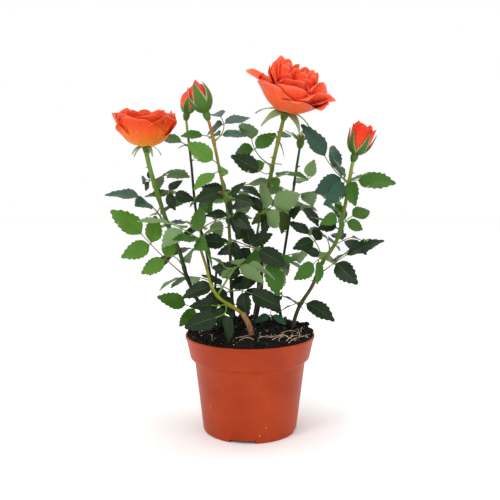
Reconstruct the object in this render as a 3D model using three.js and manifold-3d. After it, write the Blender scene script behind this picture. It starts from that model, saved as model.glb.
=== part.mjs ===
// A miniature rose bush in a round nursery pot. Eight thin canes and a woody stump stand in a heap of dark
// potting soil. The canes carry shoots of leaves with one to five leaflets, and end in two open blooms,
// three buds, one spent bloom and two leafy tips. Millimetres, +Z up, -Y to the front, +X to the right; the
// origin is the centre of the pot's flat underside.

import * as THREE from 'three';
import { mergeVertices } from 'three/addons/utils/BufferGeometryUtils.js';
import Module from 'manifold-3d';

const wasm = await Module();
wasm.setup();

// Clearance between pieces that touch
const GAP = 0.3;

// Pot: a round moulded pot with a wide rim band
const POT = {
  lip: 60,
  lipTop: 90,
  bandFoot: 55.5,
  bandBottom: 69,
  neck: 51.5,
  foot: 43.8,
  wall: 1.6,
  raise: 3,
  disc: 26,
  ring: 40.5,
  notchWidth: 23,
  notchHeight: 3,
  notchTurn: -9,
  drainCircle: 33,
  drainHole: 4.5,
  segments: 28,
};

// Soil: heaped above the lip, highest near the middle
const SOIL = { crest: 101, fall: 9.5, lumps: 1.3, rows: [57.4, 44, 28, 12], segments: 28 };

// Leaflets: six corners round a folded blade, as fractions of its length and of its half width
const LEAFLET = {
  width: 0.6,
  thick: 0.03,
  fold: 0.28,
  curl: 0.14,
  edge: [[0.3, -0.96], [0.68, -0.76], [1, 0], [0.68, 0.76], [0.3, 0.96]],
  middle: 0.42,
};

// Leaf: how far its pairs of leaflets sit from the stalk's end and how large they are, as fractions of the
// end leaflet, how far they spread, how much every leaflet droops, how much blades turn outward, and how
// much each of these differs from leaflet to leaflet
const LEAF = {
  lowest: 0.14,
  pairs: [0.32, 0.86],
  pairSize: [0.86, 0.7],
  spread: 66,
  droop: 14,
  outward: 0.7,
  vary: { roll: 8, spread: 8, droop: 12, size: 0.08 },
};

// Stalks: the radius of a shoot's stem and where along it its leaves start, half the width of a leaf's stalk
// at its foot and tip, and half the length of stalk that one leaflet takes
const STALK = { stem: 0.9, fork: 0.85, foot: 0.65, tip: 0.42, joint: 0.8 };

// Canes: how far their feet go into the soil, and how much and how fast they thicken toward the foot
const CANE = { sides: 6, steps: 9, sunk: 2, flare: 0.25, flareFall: 14 };

// Blooms: how far a hip and its sepals reach into what carries them, how deep petals sit in the hip, and how
// the lobes of the petals' tiers are turned against each other and dip between their points
const BLOOM = {
  hipSides: 7,
  overlap: 1.5,
  sink: 1,
  sepalTurn: 15,
  sepalRing: 0.6,
  sepalThick: 0.14,
  lobeSides: 3,
  stagger: 40,
  dip: 0.3,
};

const rad = THREE.MathUtils.degToRad;
const UP = new THREE.Vector3(0, 0, 1);

const COLOURS = {
  terracotta: '#bb4d24',
  soil: '#1d1712',
  greenCane: '#6f8430',
  brownCane: '#6d4a22',
  wood: '#8d6a45',
  leaves: ['#2d4c2b', '#3f6b30', '#355a2e', '#6a9a4a'],
  petal: '#f04a22',
  bud: '#f0642a',
  spent: '#7c6a3c',
};

// Unit vector toward a compass azimuth (0 right, 90 back, 180 left, -90 front) and a rise above level
function direction(azimuth, rise) {
  const [a, r] = [rad(azimuth), rad(rise)];
  return new THREE.Vector3(Math.cos(a) * Math.cos(r), Math.sin(a) * Math.cos(r), Math.sin(r));
}

// A closed geometry as a solid that can be joined and cut
function toSolid(geometry) {
  const bare = geometry.clone();
  bare.deleteAttribute('normal');
  bare.deleteAttribute('uv');
  const merged = mergeVertices(bare, 1e-4);
  const corners = merged.index.array;
  const kept = [];
  for (let i = 0; i < corners.length; i += 3) {
    const [a, b, c] = corners.slice(i, i + 3);
    if (a !== b && b !== c && c !== a) kept.push(a, b, c);
  }
  return new wasm.Manifold(new wasm.Mesh({
    numProp: 3,
    vertProperties: new Float32Array(merged.attributes.position.array),
    triVerts: new Uint32Array(kept),
  }));
}

const join = (solids) => solids.reduce((whole, solid) => whole.add(solid));

// The largest shell of a fused solid: hollows that fusing has sealed are filled and loose scraps dropped
function outerShell(solid) {
  const { vertProperties, triVerts } = solid.getMesh();
  const owner = Array.from({ length: vertProperties.length / 3 }, (_, i) => i);
  const find = (i) => {
    let top = i;
    while (owner[top] !== top) top = owner[top];
    owner[i] = top;
    return top;
  };
  for (let i = 0; i < triVerts.length; i += 3) {
    owner[find(triVerts[i + 1])] = find(triVerts[i]);
    owner[find(triVerts[i + 2])] = find(triVerts[i]);
  }
  const shells = new Map();
  const corner = [new THREE.Vector3(), new THREE.Vector3(), new THREE.Vector3()];
  for (let i = 0; i < triVerts.length; i += 3) {
    const key = find(triVerts[i]);
    const shell = shells.get(key) ?? { triangles: [], volume: 0 };
    corner.forEach((point, k) => point.fromArray(vertProperties, triVerts[i + k] * 3));
    shell.volume += corner[0].dot(corner[1].clone().cross(corner[2])) / 6;
    shell.triangles.push(triVerts[i], triVerts[i + 1], triVerts[i + 2]);
    shells.set(key, shell);
  }
  const [largest] = [...shells.values()].sort((a, b) => b.volume - a.volume);
  const geometry = new THREE.BufferGeometry();
  geometry.setAttribute('position', new THREE.BufferAttribute(vertProperties, 3));
  geometry.setIndex(largest.triangles);
  return geometry;
}

// A limb is a cylinder bent along its curve: each ring moves to its place and takes the radius there. A limb
// grown by a clearance also reaches that far past both ends; a level one is cut flat at its foot.
function limb(curve, radiusAt, { sides, steps, grow = 0, level = false }) {
  const geometry = new THREE.CylinderGeometry(1, 1, 1, sides, steps);
  const { tangents, normals, binormals } = curve.computeFrenetFrames(steps, false);
  const { position } = geometry.attributes;
  const corner = new THREE.Vector3();
  for (let i = 0; i < position.count; i += 1) {
    const ring = Math.round((position.getY(i) + 0.5) * steps);
    const radius = radiusAt(ring / steps) + grow;
    corner.copy(curve.getPointAt(ring / steps));
    corner.addScaledVector(normals[ring], position.getX(i) * radius);
    corner.addScaledVector(binormals[ring], -position.getZ(i) * radius);
    if (ring === steps) corner.addScaledVector(tangents[ring], grow);
    if (ring === 0) corner.addScaledVector(tangents[ring], -grow);
    if (ring === 0 && level) corner.z = curve.getPointAt(0).z - grow;
    position.setXYZ(i, corner.x, corner.y, corner.z);
  }
  return toSolid(geometry);
}

const taper = (foot, tip) => (t) => foot + (tip - foot) * t;

// Height of the soil: a mound that falls toward the pot's wall, with low lumps
function soilHeight(x, y) {
  const reach = Math.hypot(x, y) / SOIL.rows[0];
  const lumps = Math.sin(0.21 * x + 0.5) * Math.cos(0.17 * y) + 0.6 * Math.sin(0.34 * x - 0.27 * y);
  return SOIL.crest - SOIL.fall * reach ** 2.2 + SOIL.lumps * lumps;
}

// Pot: one lathe profile, up the outside and down the inside, then notches and drain holes are cut
function potSolid() {
  const p = POT;
  const inner = p.wall * 1.02;
  const profile = [
    [0, 0], [p.disc, 0], [p.disc + 2, p.raise], [p.ring - 2, p.raise], [p.ring, 0], [p.foot - 1, 0],
    [p.foot, 1.2], [p.neck, p.bandBottom - 2], [p.bandFoot, p.bandBottom], [p.lip - 0.9, p.lipTop - 3],
    [p.lip, p.lipTop - 2.4], [p.lip, p.lipTop], [p.lip - p.wall, p.lipTop],
    [p.bandFoot - inner, p.bandBottom + 2], [p.neck - inner, p.bandBottom - 0.5],
    [p.foot - inner - 0.6, p.raise + p.wall + 2], [p.foot - inner - 3, p.raise + p.wall],
    [p.disc, p.raise + p.wall], [p.disc - 2, p.wall], [0, p.wall],
  ].map(([r, z]) => new THREE.Vector2(r, z));
  let pot = toSolid(new THREE.LatheGeometry(profile, p.segments).rotateX(Math.PI / 2));
  for (let i = 0; i < 4; i += 1) {
    const turn = rad(p.notchTurn + i * 90);
    const notch = new THREE.BoxGeometry(p.notchWidth, 8, p.notchHeight * 2);
    notch.translate(0, -p.foot + 1, 0).rotateZ(turn);
    const drain = new THREE.CylinderGeometry(p.drainHole, p.drainHole, 12, 10).rotateX(Math.PI / 2);
    drain.translate(0, -p.drainCircle, 4).rotateZ(turn);
    pot = pot.subtract(toSolid(notch)).subtract(toSolid(drain));
  }
  return pot;
}

// Soil: fills the pot to its wall and rises above the lip; the canes' feet are cut out of it
function soilSolid() {
  const p = POT;
  const inner = p.wall * 1.02 + GAP;
  const floor = p.raise + p.wall + GAP;
  const profile = [
    [0, p.wall + GAP], [p.disc - 2.4, p.wall + GAP], [p.disc - 0.4, floor], [p.foot - inner - 3.1, floor],
    [p.foot - inner - 0.7, floor + 2.1], [p.neck - inner, p.bandBottom - 0.4],
    [p.bandFoot - inner, p.bandBottom + 2.1], [p.lip - p.wall - 1.5, p.lipTop - 4],
    ...SOIL.rows.map((r) => [r, p.lipTop]), [0, p.lipTop],
  ].map(([r, z]) => new THREE.Vector2(r, z));
  const geometry = new THREE.LatheGeometry(profile, SOIL.segments).rotateX(Math.PI / 2);
  const { position } = geometry.attributes;
  for (let i = 0; i < position.count; i += 1) {
    if (position.getZ(i) > p.lipTop - 1) {
      position.setZ(i, soilHeight(position.getX(i), position.getY(i)));
    }
  }
  return toSolid(geometry);
}

// Canes, each from its foot in the soil through its bends to its tip: radius at foot and tip, and colour. One
// with a carrier grows out of that one's top.
const CANES = {
  cane_left: {
    route: [[-41, -6], [-45, 0, 112], [-58, 3, 141], [-65, 0, 167], [-77, -4, 198], [-88, -11, 238], [-92, -15, 258]],
    radius: [2.1, 1.9],
    colour: 'greenCane',
  },
  cane_bud_left: {
    route: [[-33, 22], [-35, 23, 118], [-42, 23, 166], [-51, 22, 202], [-55, 20, 248], [-59, 15, 288]],
    radius: [1.4, 1.1],
    colour: 'brownCane',
  },
  cane_front: {
    carrier: 'stump',
    route: [[-6.1, -34.6, 115.2], [-12, -36.5, 120], [-19, -34.5, 124], [-28, -36, 131], [-34, -40, 143], [-38, -44, 160], [-45, -48, 183]],
    radius: [1.5, 1.1],
    colour: 'greenCane',
  },
  cane_bud_centre: {
    route: [[-14, -2], [-17, -8, 132], [-18, -15, 176], [-20, -18, 206], [-27, -20, 243], [-33, -17, 271], [-37, -14, 286]],
    radius: [1.5, 1.3],
    colour: 'greenCane',
  },
  cane_bloom: {
    route: [[4, -8], [10, 1, 130], [11, 2, 172], [14, -2, 205], [20, -5, 243], [25, -5, 266], [30, -6, 287]],
    radius: [1.9, 1.8],
    colour: 'greenCane',
  },
  cane_spent: {
    route: [[31, 24], [27, 26, 122], [31, 28, 150], [38, 30, 196], [43, 28, 236], [47, 26, 263]],
    radius: [1.4, 1.15],
    colour: 'brownCane',
  },
  cane_right: {
    route: [[38, -10], [45, -4, 115], [57, -4, 135], [66, -6, 157], [79, -6, 178], [86, -4, 208], [90, -2, 232], [93.5, 0, 250]],
    radius: [1.7, 1.6],
    colour: 'greenCane',
  },
  cane_back: {
    route: [[4, 40], [8, 47, 128], [6, 52, 168], [12, 55, 205]],
    radius: [1.4, 1.1],
    colour: 'brownCane',
  },
  stump: {
    route: [[2, -38], [-1, -36, 106], [-6.5, -34.5, 116]],
    radius: [2.6, 2.2],
    colour: 'wood',
  },
  stub_dark: {
    route: [[-31, 2], [-33, 5, 120], [-31, 6, 153]],
    radius: [1.3, 1.1],
    colour: 'brownCane',
  },
};

// A cane's curve starts a little below the soil, so that its foot can be cut level
function caneCurve({ route }) {
  const [[x, y, z = soilHeight(x, y) - CANE.sunk], ...bends] = route;
  const points = [new THREE.Vector3(x, y, z), ...bends.map((bend) => new THREE.Vector3(...bend))];
  return new THREE.CatmullRomCurve3(points, false, 'catmullrom', 0.5);
}

function caneSolid(cane, grow) {
  const [foot, tip] = cane.radius;
  const radiusAt = (t) => taper(foot, tip)(t) + foot * CANE.flare * Math.exp(-t * CANE.flareFall);
  const level = cane.route[0].length === 2;
  return limb(caneCurve(cane), radiusAt, { sides: CANE.sides, steps: CANE.steps, grow, level });
}

// The point of a cane's curve at a height
function caneAt(curve, z) {
  let [low, high] = [0, 1];
  for (let i = 0; i < 24; i += 1) {
    const middle = (low + high) / 2;
    if (curve.getPoint(middle).z < z) low = middle;
    else high = middle;
  }
  return curve.getPoint(high);
}

// Facing of a blade that grows along a direction: up and out from the middle of the bush, then rolled
function facing(point, along, roll) {
  const outward = new THREE.Vector3(point.x, point.y, 0).normalize();
  const normal = UP.clone().addScaledVector(outward, LEAF.outward);
  normal.addScaledVector(along, -normal.dot(along)).normalize();
  return normal.applyAxisAngle(along, rad(roll));
}

// Small steady differences between leaflets, from -1 to 1
function wobble(seed) {
  const noise = Math.sin(seed * 12.9898) * 43758.5453;
  return (noise - Math.floor(noise)) * 2 - 1;
}

// A stalk turns evenly from its first direction to its last
function stalkCurve(start, azimuth, rise, bend, lift, length) {
  const middle = start.clone().addScaledVector(direction(azimuth, rise), length / 2);
  const end = middle.clone().addScaledVector(direction(azimuth + bend, rise + lift), length / 2);
  return new THREE.QuadraticBezierCurve3(start, middle, end);
}

// A frame on a stalk: its point, its direction, the facing of its blades and their left
function stalkFrame(curve, t, roll) {
  const point = curve.getPoint(t);
  const along = curve.getTangent(t).normalize();
  const normal = facing(point, along, roll);
  return { point, along, normal, left: normal.clone().cross(along) };
}

// The leaflets of one leaf: one at the stalk's end, side 0, and pairs to its right and left along it
function leafletPlaces(curve, leaflets, size, roll, seed) {
  const { vary } = LEAF;
  const put = (t, side, length, salt) => {
    const { point, along, normal, left } = stalkFrame(curve, t, roll + vary.roll * wobble(seed + salt));
    point.addScaledVector(left, side * STALK.foot);
    along.applyAxisAngle(normal, rad(side * (LEAF.spread + vary.spread * wobble(seed + salt + 120))));
    const across = normal.clone().cross(along);
    const droop = rad(LEAF.droop + vary.droop * wobble(seed + salt + 40));
    along.applyAxisAngle(across, droop);
    normal.applyAxisAngle(across, droop);
    const place = new THREE.Matrix4().makeBasis(along, across, normal).setPosition(point);
    return { t, side, place, length: length * (1 + vary.size * wobble(seed + salt + 80)) };
  };
  const places = [put(1, 0, size, 0)];
  for (let pair = 0; pair < (leaflets - 1) / 2; pair += 1) {
    const t = Math.max(LEAF.lowest, 1 - (LEAF.pairs[pair] * size) / curve.getLength());
    places.push(put(t, -1, size * LEAF.pairSize[pair], 1 + pair * 2));
    places.push(put(t, 1, size * LEAF.pairSize[pair], 2 + pair * 2));
  }
  return places;
}

// The corners of a leaflet past its base: right side, point, left side, then the top and the underside of
// its middle; a grown one is that much wider, longer and thicker
function bladeCorners({ place, length }, grow = 0) {
  const reach = length + grow;
  const half = (length * LEAFLET.width) / 2 + grow;
  const drop = (x) => -LEAFLET.curl * length * (x / length) ** 2;
  const at = (x, y, lift) => new THREE.Vector3(x, y, drop(x) + LEAFLET.fold * Math.abs(y) + lift).applyMatrix4(place);
  const rim = (lift) => LEAFLET.edge.map(([x, y]) => at(reach * x, half * y, lift));
  const thick = (length * LEAFLET.thick) / 2 + grow;
  const middle = [at(reach * LEAFLET.middle, 0, thick), at(reach * LEAFLET.middle, 0, -thick)];
  return { rim, middle, base: (lift) => at(STALK.joint, 0, lift) };
}

function solidOf(points, faces) {
  const geometry = new THREE.BufferGeometry().setFromPoints(points);
  geometry.setIndex(faces);
  return toSolid(geometry);
}

// The space that a leaflet needs: its blade grown by a clearance
function leafletSpace(leaflet, grow) {
  const { rim, middle, base } = bladeCorners(leaflet, grow);
  const faces = [];
  for (let i = 0; i < 6; i += 1) {
    const next = (i + 1) % 6;
    faces.push(i, next, 12, next + 6, i + 6, 13, i + 6, next + 6, i, next + 6, next, i);
  }
  return solidOf([base(grow), ...rim(grow), base(-grow), ...rim(-grow), ...middle], faces);
}

// One leaf as a closed skin: a square stalk whose sides and end open into flat leaflets
function leafSolid(curve, roll, leaflets) {
  const joint = STALK.joint / curve.getLength();
  const pairs = [...new Set(leaflets.filter(({ side }) => side).map(({ t }) => t))].sort();
  const stations = [0, ...pairs.flatMap((t) => [t - joint, t + joint]), 1];
  const points = [];
  const faces = [];
  const quad = (a, b, c, d) => faces.push(a, b, c, a, c, d);
  const rings = stations.map((t) => {
    const { point, normal, left } = stalkFrame(curve, t, roll);
    const half = taper(STALK.foot, STALK.tip)(t);
    return [[1, 1], [-1, 1], [-1, -1], [1, -1]].map(([across, up]) => points.push(
      point.clone().addScaledVector(left, across * half).addScaledVector(normal, up * half),
    ) - 1);
  });
  const blade = (leaflet, rightTop, rightBottom, leftTop, leftBottom) => {
    if (!leaflet) {
      quad(rightTop, rightBottom, leftBottom, leftTop);
      return;
    }
    const { rim, middle } = bladeCorners(leaflet);
    const first = points.length;
    points.push(...rim(0), ...middle);
    const edge = [0, 1, 2, 3, 4].map((i) => first + i);
    const [top, bottom] = [first + 5, first + 6];
    const upper = [rightTop, ...edge, leftTop];
    const lower = [rightBottom, ...edge, leftBottom];
    upper.forEach((corner, i) => faces.push(corner, upper[(i + 1) % 7], top));
    lower.forEach((corner, i) => faces.push(lower[(i + 1) % 7], corner, bottom));
    faces.push(edge[0], rightTop, rightBottom, leftTop, edge[4], leftBottom);
  };
  const [lt, rt, rb, lb] = rings[0];
  quad(lt, lb, rb, rt);
  for (let i = 1; i < rings.length; i += 1) {
    const [a, b] = [rings[i - 1], rings[i]];
    const t = (stations[i - 1] + stations[i]) / 2;
    const at = (side) => leaflets.find((leaf) => leaf.side === side && Math.abs(leaf.t - t) < joint / 2);
    quad(a[0], a[1], b[1], b[0]);
    quad(a[3], b[3], b[2], a[2]);
    blade(at(1), b[0], b[3], a[0], a[3]);
    blade(at(-1), a[1], a[2], b[1], b[2]);
  }
  const end = rings[rings.length - 1];
  blade(leaflets.find(({ side }) => side === 0), end[1], end[2], end[0], end[3]);
  return solidOf(points, faces);
}

// Shoots of leaves, cane by cane: the height where the shoot leaves the cane, its stem's azimuth, rise and
// length, or null where a single leaf's stalk leaves the cane itself, then for each leaf its azimuth, rise,
// bend, lift, stalk length, leaflets, leaflet size and roll
const SHOOTS = {
  cane_left: [
    [116, null, [-165, -15, 25, 45, 15, 3, 28, -110]],
    [142, null, [-165, 40, -5, 10, 58, 5, 36, -100]],
    [152, [125, 30, 8], [120, 25, 15, -25, 26, 3, 31, 0], [58, 40, -10, -20, 26, 3, 30, 0]],
    [193, [-175, 40, 8], [-165, 60, -5, -30, 28, 3, 31, -30], [102, 15, 15, 0, 18, 3, 25, 0]],
    [217, null, [-10, 45, -20, -65, 20, 3, 20, 50]],
    [229, [115, 25, 5], [150, 20, -20, -20, 9, 3, 14, -60], [65, 25, -10, -20, 22, 3, 27, 0]],
  ],
  cane_bud_left: [
    [135, null, [155, 20, 10, -30, 32, 3, 30, 0]],
    [182, [95, 30, 8], [135, 25, 10, -25, 28, 5, 30, 0], [35, 30, -10, -20, 26, 3, 30, 0]],
    [212, [-80, 30, 6], [-145, 25, -20, -20, 20, 3, 27, -40], [-35, 30, 20, -30, 20, 3, 26, 40]],
    [263, [-130, 15, 5], [90, 0, 95, 30, 9, 3, 26, -60], [-150, -5, 10, -35, 9, 1, 38, -25]],
  ],
  cane_front: [
    [124, [-130, 12, 5], [-130, -10, -15, 25, 14, 3, 22, -30], [-70, -25, -70, 20, 28, 3, 29, -50]],
    [180, [-80, 50, 5], [-150, 35, -45, -15, 28, 3, 31, 60], [-45, 30, 0, 85, 8, 3, 28, -10],
      [-60, -20, -90, 40, 12, 3, 29, -55]],
    [132, [24, 55, 30], [-20, 50, 0, -50, 18, 3, 29, -75], [180, 0, 0, 60, 9, 3, 17, 60]],
  ],
  cane_bud_centre: [
    [130, [-90, 20, 7], [-40, 15, 15, -30, 22, 3, 28, 35], [-135, 0, 0, -35, 22, 3, 28, -20],
      [-135, 35, -15, -30, 22, 3, 28, -35]],
    [176, [-85, 35, 8], [-40, -10, 15, -10, 30, 5, 28, 40], [-70, -30, -75, 45, 16, 3, 25, -50]],
    [203, [-85, 30, 8], [-65, -30, -75, 15, 20, 3, 25, -45], [-90, 10, 35, -35, 20, 5, 23, 35]],
    [216, [95, 30, 8], [135, 15, 15, -20, 22, 3, 27, 0], [40, 30, -10, -20, 26, 3, 29, 0]],
    [229, [-85, 20, 8], [-85, -50, 25, 50, 36, 3, 20, 40], [-50, -40, -85, 35, 24, 3, 24, -45]],
    [242, [-94, 40, 6], [-110, 25, -60, 10, 8, 3, 30, -50], [-60, -50, -80, 40, 14, 1, 24, -20]],
    [266, null, [40, 30, 80, 10, 40, 5, 30, 20]],
    [269, null, [-170, 25, 10, -20, 9, 3, 20, -40]],
  ],
  cane_bloom: [
    [135, [-90, 15, 5], [-115, -10, 60, -10, 16, 3, 26, 30], [-165, 45, -15, -30, 22, 3, 27, -50]],
    [166, [-75, 30, 6], [-95, -15, 45, -5, 36, 5, 27, 35], [-75, 0, 10, -45, 22, 3, 33, 25],
      [-180, 20, -15, -25, 22, 3, 29, -40]],
    [202, [-90, 30, 5], [-40, 30, 20, 0, 10, 5, 31, -80], [-130, -25, -15, 30, 11, 3, 25, -30]],
    [234, null, [-10, 5, -30, 15, 14, 5, 25, 30]],
    [243, [-125, 35, 6], [170, 30, -60, 35, 32, 5, 30, -60], [-70, -60, -85, 90, 30, 3, 27, -40],
      [-30, 15, 30, -30, 12, 1, 30, 30]],
    [268, [110, 30, 7], [180, -20, -50, 65, 9, 3, 27, -50], [90, -20, -35, 45, 12, 3, 23, 10]],
  ],
  cane_spent: [
    [122, [-60, 20, 7], [-90, -10, 35, 10, 18, 3, 27, 30], [-130, -20, 50, -10, 44, 3, 20, 20]],
    [155, [70, 25, 8], [35, 15, -15, -20, 28, 3, 31, 0], [115, 20, 10, -25, 26, 3, 30, 0]],
    [200, [-90, 15, 6], [-20, 60, -25, -80, 20, 5, 24, 40], [-135, 20, -15, -25, 20, 3, 27, -35]],
    [212, [75, 30, 8], [35, 20, -15, -20, 28, 3, 31, 0], [110, 30, 10, -20, 24, 3, 29, 0]],
    [230, null, [0, -10, 65, 50, 20, 3, 20, 160]],
  ],
  cane_right: [
    [120, null, [-100, 20, 70, -35, 9, 3, 29, 50]],
    [144, null, [-15, 40, -5, -5, 34, 3, 35, 50]],
    [158, [-120, 50, 5], [150, 80, 10, -40, 26, 5, 24, -40], [-120, 5, -5, -30, 16, 3, 24, -30]],
    [166, [75, 30, 7], [40, 30, -15, -20, 28, 3, 30, 0], [90, 35, 10, -20, 26, 3, 30, 0]],
    [194, [-130, 20, 5], [-90, 0, -50, -10, 9, 3, 20, -40], [-60, 60, -70, -80, 24, 3, 20, -30]],
    [183, [60, 50, 6], [30, 65, -10, -40, 18, 3, 23, 30], [140, 25, 10, -20, 22, 3, 28, 0]],
    [229, [-150, 38, 7], [-165, 35, -10, 25, 28, 5, 37, -45], [-90, 10, -20, -50, 10, 3, 29, -30]],
    [231, null, [-50, 15, 20, -15, 9, 3, 34, 60]],
  ],
  cane_back: [
    [150, [50, 25, 7], [5, 5, -15, -20, 28, 3, 30, 20], [50, -10, 10, -25, 28, 5, 31, 20]],
    [202, [90, 60, 5], [155, 30, 15, -25, 26, 3, 30, 0], [110, 30, 0, -30, 28, 5, 30, 0],
      [5, 15, -15, -25, 26, 3, 30, 0]],
  ],
};

// A shoot starts at its cane's axis and is cut clear of the cane; a leaflet that would touch another piece
// or its own leaf is left out
function shootSolid([z, stem, ...leaves], cane, taken, seed) {
  let start = caneAt(caneCurve(cane), z);
  const pieces = [];
  if (stem) {
    const [azimuth, rise, length] = stem;
    const curve = stalkCurve(start, azimuth, rise, 0, 0, length);
    pieces.push(limb(curve, () => STALK.stem, { sides: 4, steps: 1 }));
    start = curve.getPoint(STALK.fork);
  }
  let own = wasm.Manifold.union([]);
  leaves.forEach(([azimuth, rise, bend, lift, length, leaflets, size, roll], i) => {
    const curve = stalkCurve(start, azimuth, rise, bend, lift, length);
    const kept = [];
    for (const leaflet of leafletPlaces(curve, leaflets, size, roll, seed + i * 7)) {
      const space = leafletSpace(leaflet, GAP);
      if (space.intersect(taken).isEmpty() && space.intersect(own).isEmpty()) {
        kept.push(leaflet);
        own = own.add(leafletSpace(leaflet, 0));
      }
    }
    pieces.push(leafSolid(curve, roll, kept));
  });
  return join(pieces).subtract(caneSolid(cane, GAP));
}

// Blooms: the cane that each one ends, its axis as azimuth and rise, its hip's radius and height, its sepals
// as count, length, width and lean, and its packed petals as radius, height, lobes round the rim and shape
const BLOOMS = {
  bloom_left: {
    cane: 'cane_left',
    axis: [-80, 74],
    hip: [3.6, 6],
    sepals: [5, 14, 4, 115],
    petals: [26, 31, 5, 'cup'],
    colour: 'petal',
  },
  bloom_right: {
    cane: 'cane_bloom',
    axis: [-55, 65],
    hip: [4.2, 8],
    sepals: [5, 26, 8, 125],
    petals: [39.5, 41, 6, 'open'],
    colour: 'petal',
  },
  bud_left: {
    cane: 'cane_bud_left',
    axis: [20, 80],
    hip: [3.6, 6],
    sepals: [5, 17, 5.5, 24],
    petals: [7.5, 20, 3, 'bud'],
    colour: 'bud',
  },
  bud_centre: {
    cane: 'cane_bud_centre',
    axis: [170, 70],
    hip: [3.8, 7],
    sepals: [5, 27, 8, 17],
    petals: [7, 25, 3, 'bud'],
    colour: 'bud',
  },
  bud_right: {
    cane: 'cane_right',
    axis: [-20, 72],
    hip: [4, 7],
    sepals: [5, 24, 6.5, 30],
    petals: [12.5, 25.5, 4, 'opening'],
    colour: 'petal',
  },
  spent_bloom: {
    cane: 'cane_spent',
    axis: [-60, 80],
    hip: [4.6, 8],
    sepals: [5, 15, 4.5, 58],
    petals: [3, 5, 3, 'bud'],
    colour: 'spent',
  },
};

// Packed petals, from the hip out under the rim, over it and in across the tiers to the heart: each row's
// radius and height as fractions of the whole, and how strongly the lobes show there
const SHAPES = {
  bud: [[0.3, 0, 0], [0.82, 0.14, 0], [1, 0.36, 0.03], [0.8, 0.7, 0.06], [0.42, 0.93, 0.1], [0, 1, 0]],
  opening: [[0.2, 0, 0], [0.6, 0.15, 0], [0.82, 0.45, 0.04], [1, 0.86, 0.14], [0.86, 0.89, 0.1],
    [0.6, 0.8, 0], [0.5, 1, 0.06], [0, 0.94, 0]],
  cup: [[0.1, 0, 0], [0.6, 0.02, 0], [0.92, 0.14, 0.08], [1, 0.42, 0.12], [0.93, 0.7, 0.14], [0.88, 0.76, 0.1],
    [0.72, 0.62, 0], [0.66, 0.98, 0.08], [0.44, 0.86, 0], [0.34, 1, 0.08], [0, 0.9, 0]],
  open: [[0.08, 0, 0], [0.4, 0.03, 0], [0.8, 0.16, 0.08], [1, 0.3, 0.16], [0.98, 0.35, 0.16], [0.72, 0.36, 0],
    [0.78, 0.66, 0.12], [0.72, 0.7, 0.1], [0.54, 0.58, 0], [0.5, 0.97, 0.08], [0.3, 0.86, 0], [0, 0.98, 0]],
};

function petalsShape([radius, height, lobes, shape], lift) {
  const rows = SHAPES[shape];
  const ends = [[0, 0, 0], ...rows];
  const profile = ends.map(([r, z]) => new THREE.Vector2(r * radius, z * height + lift));
  const geometry = new THREE.LatheGeometry(profile, lobes * BLOOM.lobeSides).rotateX(Math.PI / 2);
  const { position } = geometry.attributes;
  for (let i = 0; i < position.count; i += 1) {
    const [x, y] = [position.getX(i), position.getY(i)];
    const [, , strength] = ends[i % ends.length];
    const wave = Math.cos(lobes * Math.atan2(y, x) + BLOOM.stagger * strength);
    const swell = 1 + strength * wave;
    const dip = strength * height * BLOOM.dip * (1 - wave);
    position.setXYZ(i, x * swell, y * swell, position.getZ(i) - dip);
  }
  return geometry;
}

// A narrow pointed blade that leans from the axis by one angle
function sepalShape([azimuth, length, width, lean], offset, lift) {
  const [half, thick, widest] = [width / 2, width * BLOOM.sepalThick, length * 0.3];
  const geometry = new THREE.BufferGeometry();
  geometry.setAttribute('position', new THREE.Float32BufferAttribute([
    -BLOOM.overlap, 0, 0, widest, -half, 0, length, 0, 0, widest, half, 0, widest, 0, thick, widest, 0, -thick,
  ], 3));
  geometry.setIndex([0, 1, 4, 1, 2, 4, 2, 3, 4, 3, 0, 4, 1, 0, 5, 2, 1, 5, 3, 2, 5, 0, 3, 5]);
  return geometry.rotateY(rad(lean - 90)).translate(offset, 0, lift).rotateZ(rad(azimuth));
}

// A bloom starts inside its cane's tip and is cut clear of the cane
function bloomSolid({ cane, axis, hip: [girth, height], sepals, petals }) {
  const profile = [[0, -BLOOM.overlap], [girth * 0.55, -BLOOM.overlap], [girth, height * 0.45],
    [girth * 0.8, height], [0, height]].map(([r, z]) => new THREE.Vector2(r, z));
  const hip = new THREE.LatheGeometry(profile, BLOOM.hipSides);
  const pieces = [hip.rotateX(Math.PI / 2), petalsShape(petals, height - BLOOM.sink)];
  const [sepalCount, ...sepal] = sepals;
  for (let i = 0; i < sepalCount; i += 1) {
    const azimuth = (i * 360) / sepalCount + BLOOM.sepalTurn;
    pieces.push(sepalShape([azimuth, ...sepal], girth * BLOOM.sepalRing, height - BLOOM.sink));
  }
  const turn = new THREE.Quaternion().setFromUnitVectors(UP, direction(...axis));
  const tip = caneCurve(CANES[cane]).getPointAt(1);
  const place = new THREE.Matrix4().compose(tip, turn, new THREE.Vector3(1, 1, 1));
  return join(pieces.map((piece) => toSolid(piece.applyMatrix4(place)))).subtract(caneSolid(CANES[cane], GAP));
}

// The plant in its pot: canes first, then the soil that they stand in, the blooms and the shoots of leaves
const plant = new THREE.Group();

function addPiece(name, solid, color, roughness) {
  const look = new THREE.MeshStandardMaterial({ color, roughness });
  const mesh = new THREE.Mesh(outerShell(solid), look);
  mesh.name = name;
  plant.add(mesh);
  return solid;
}

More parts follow.
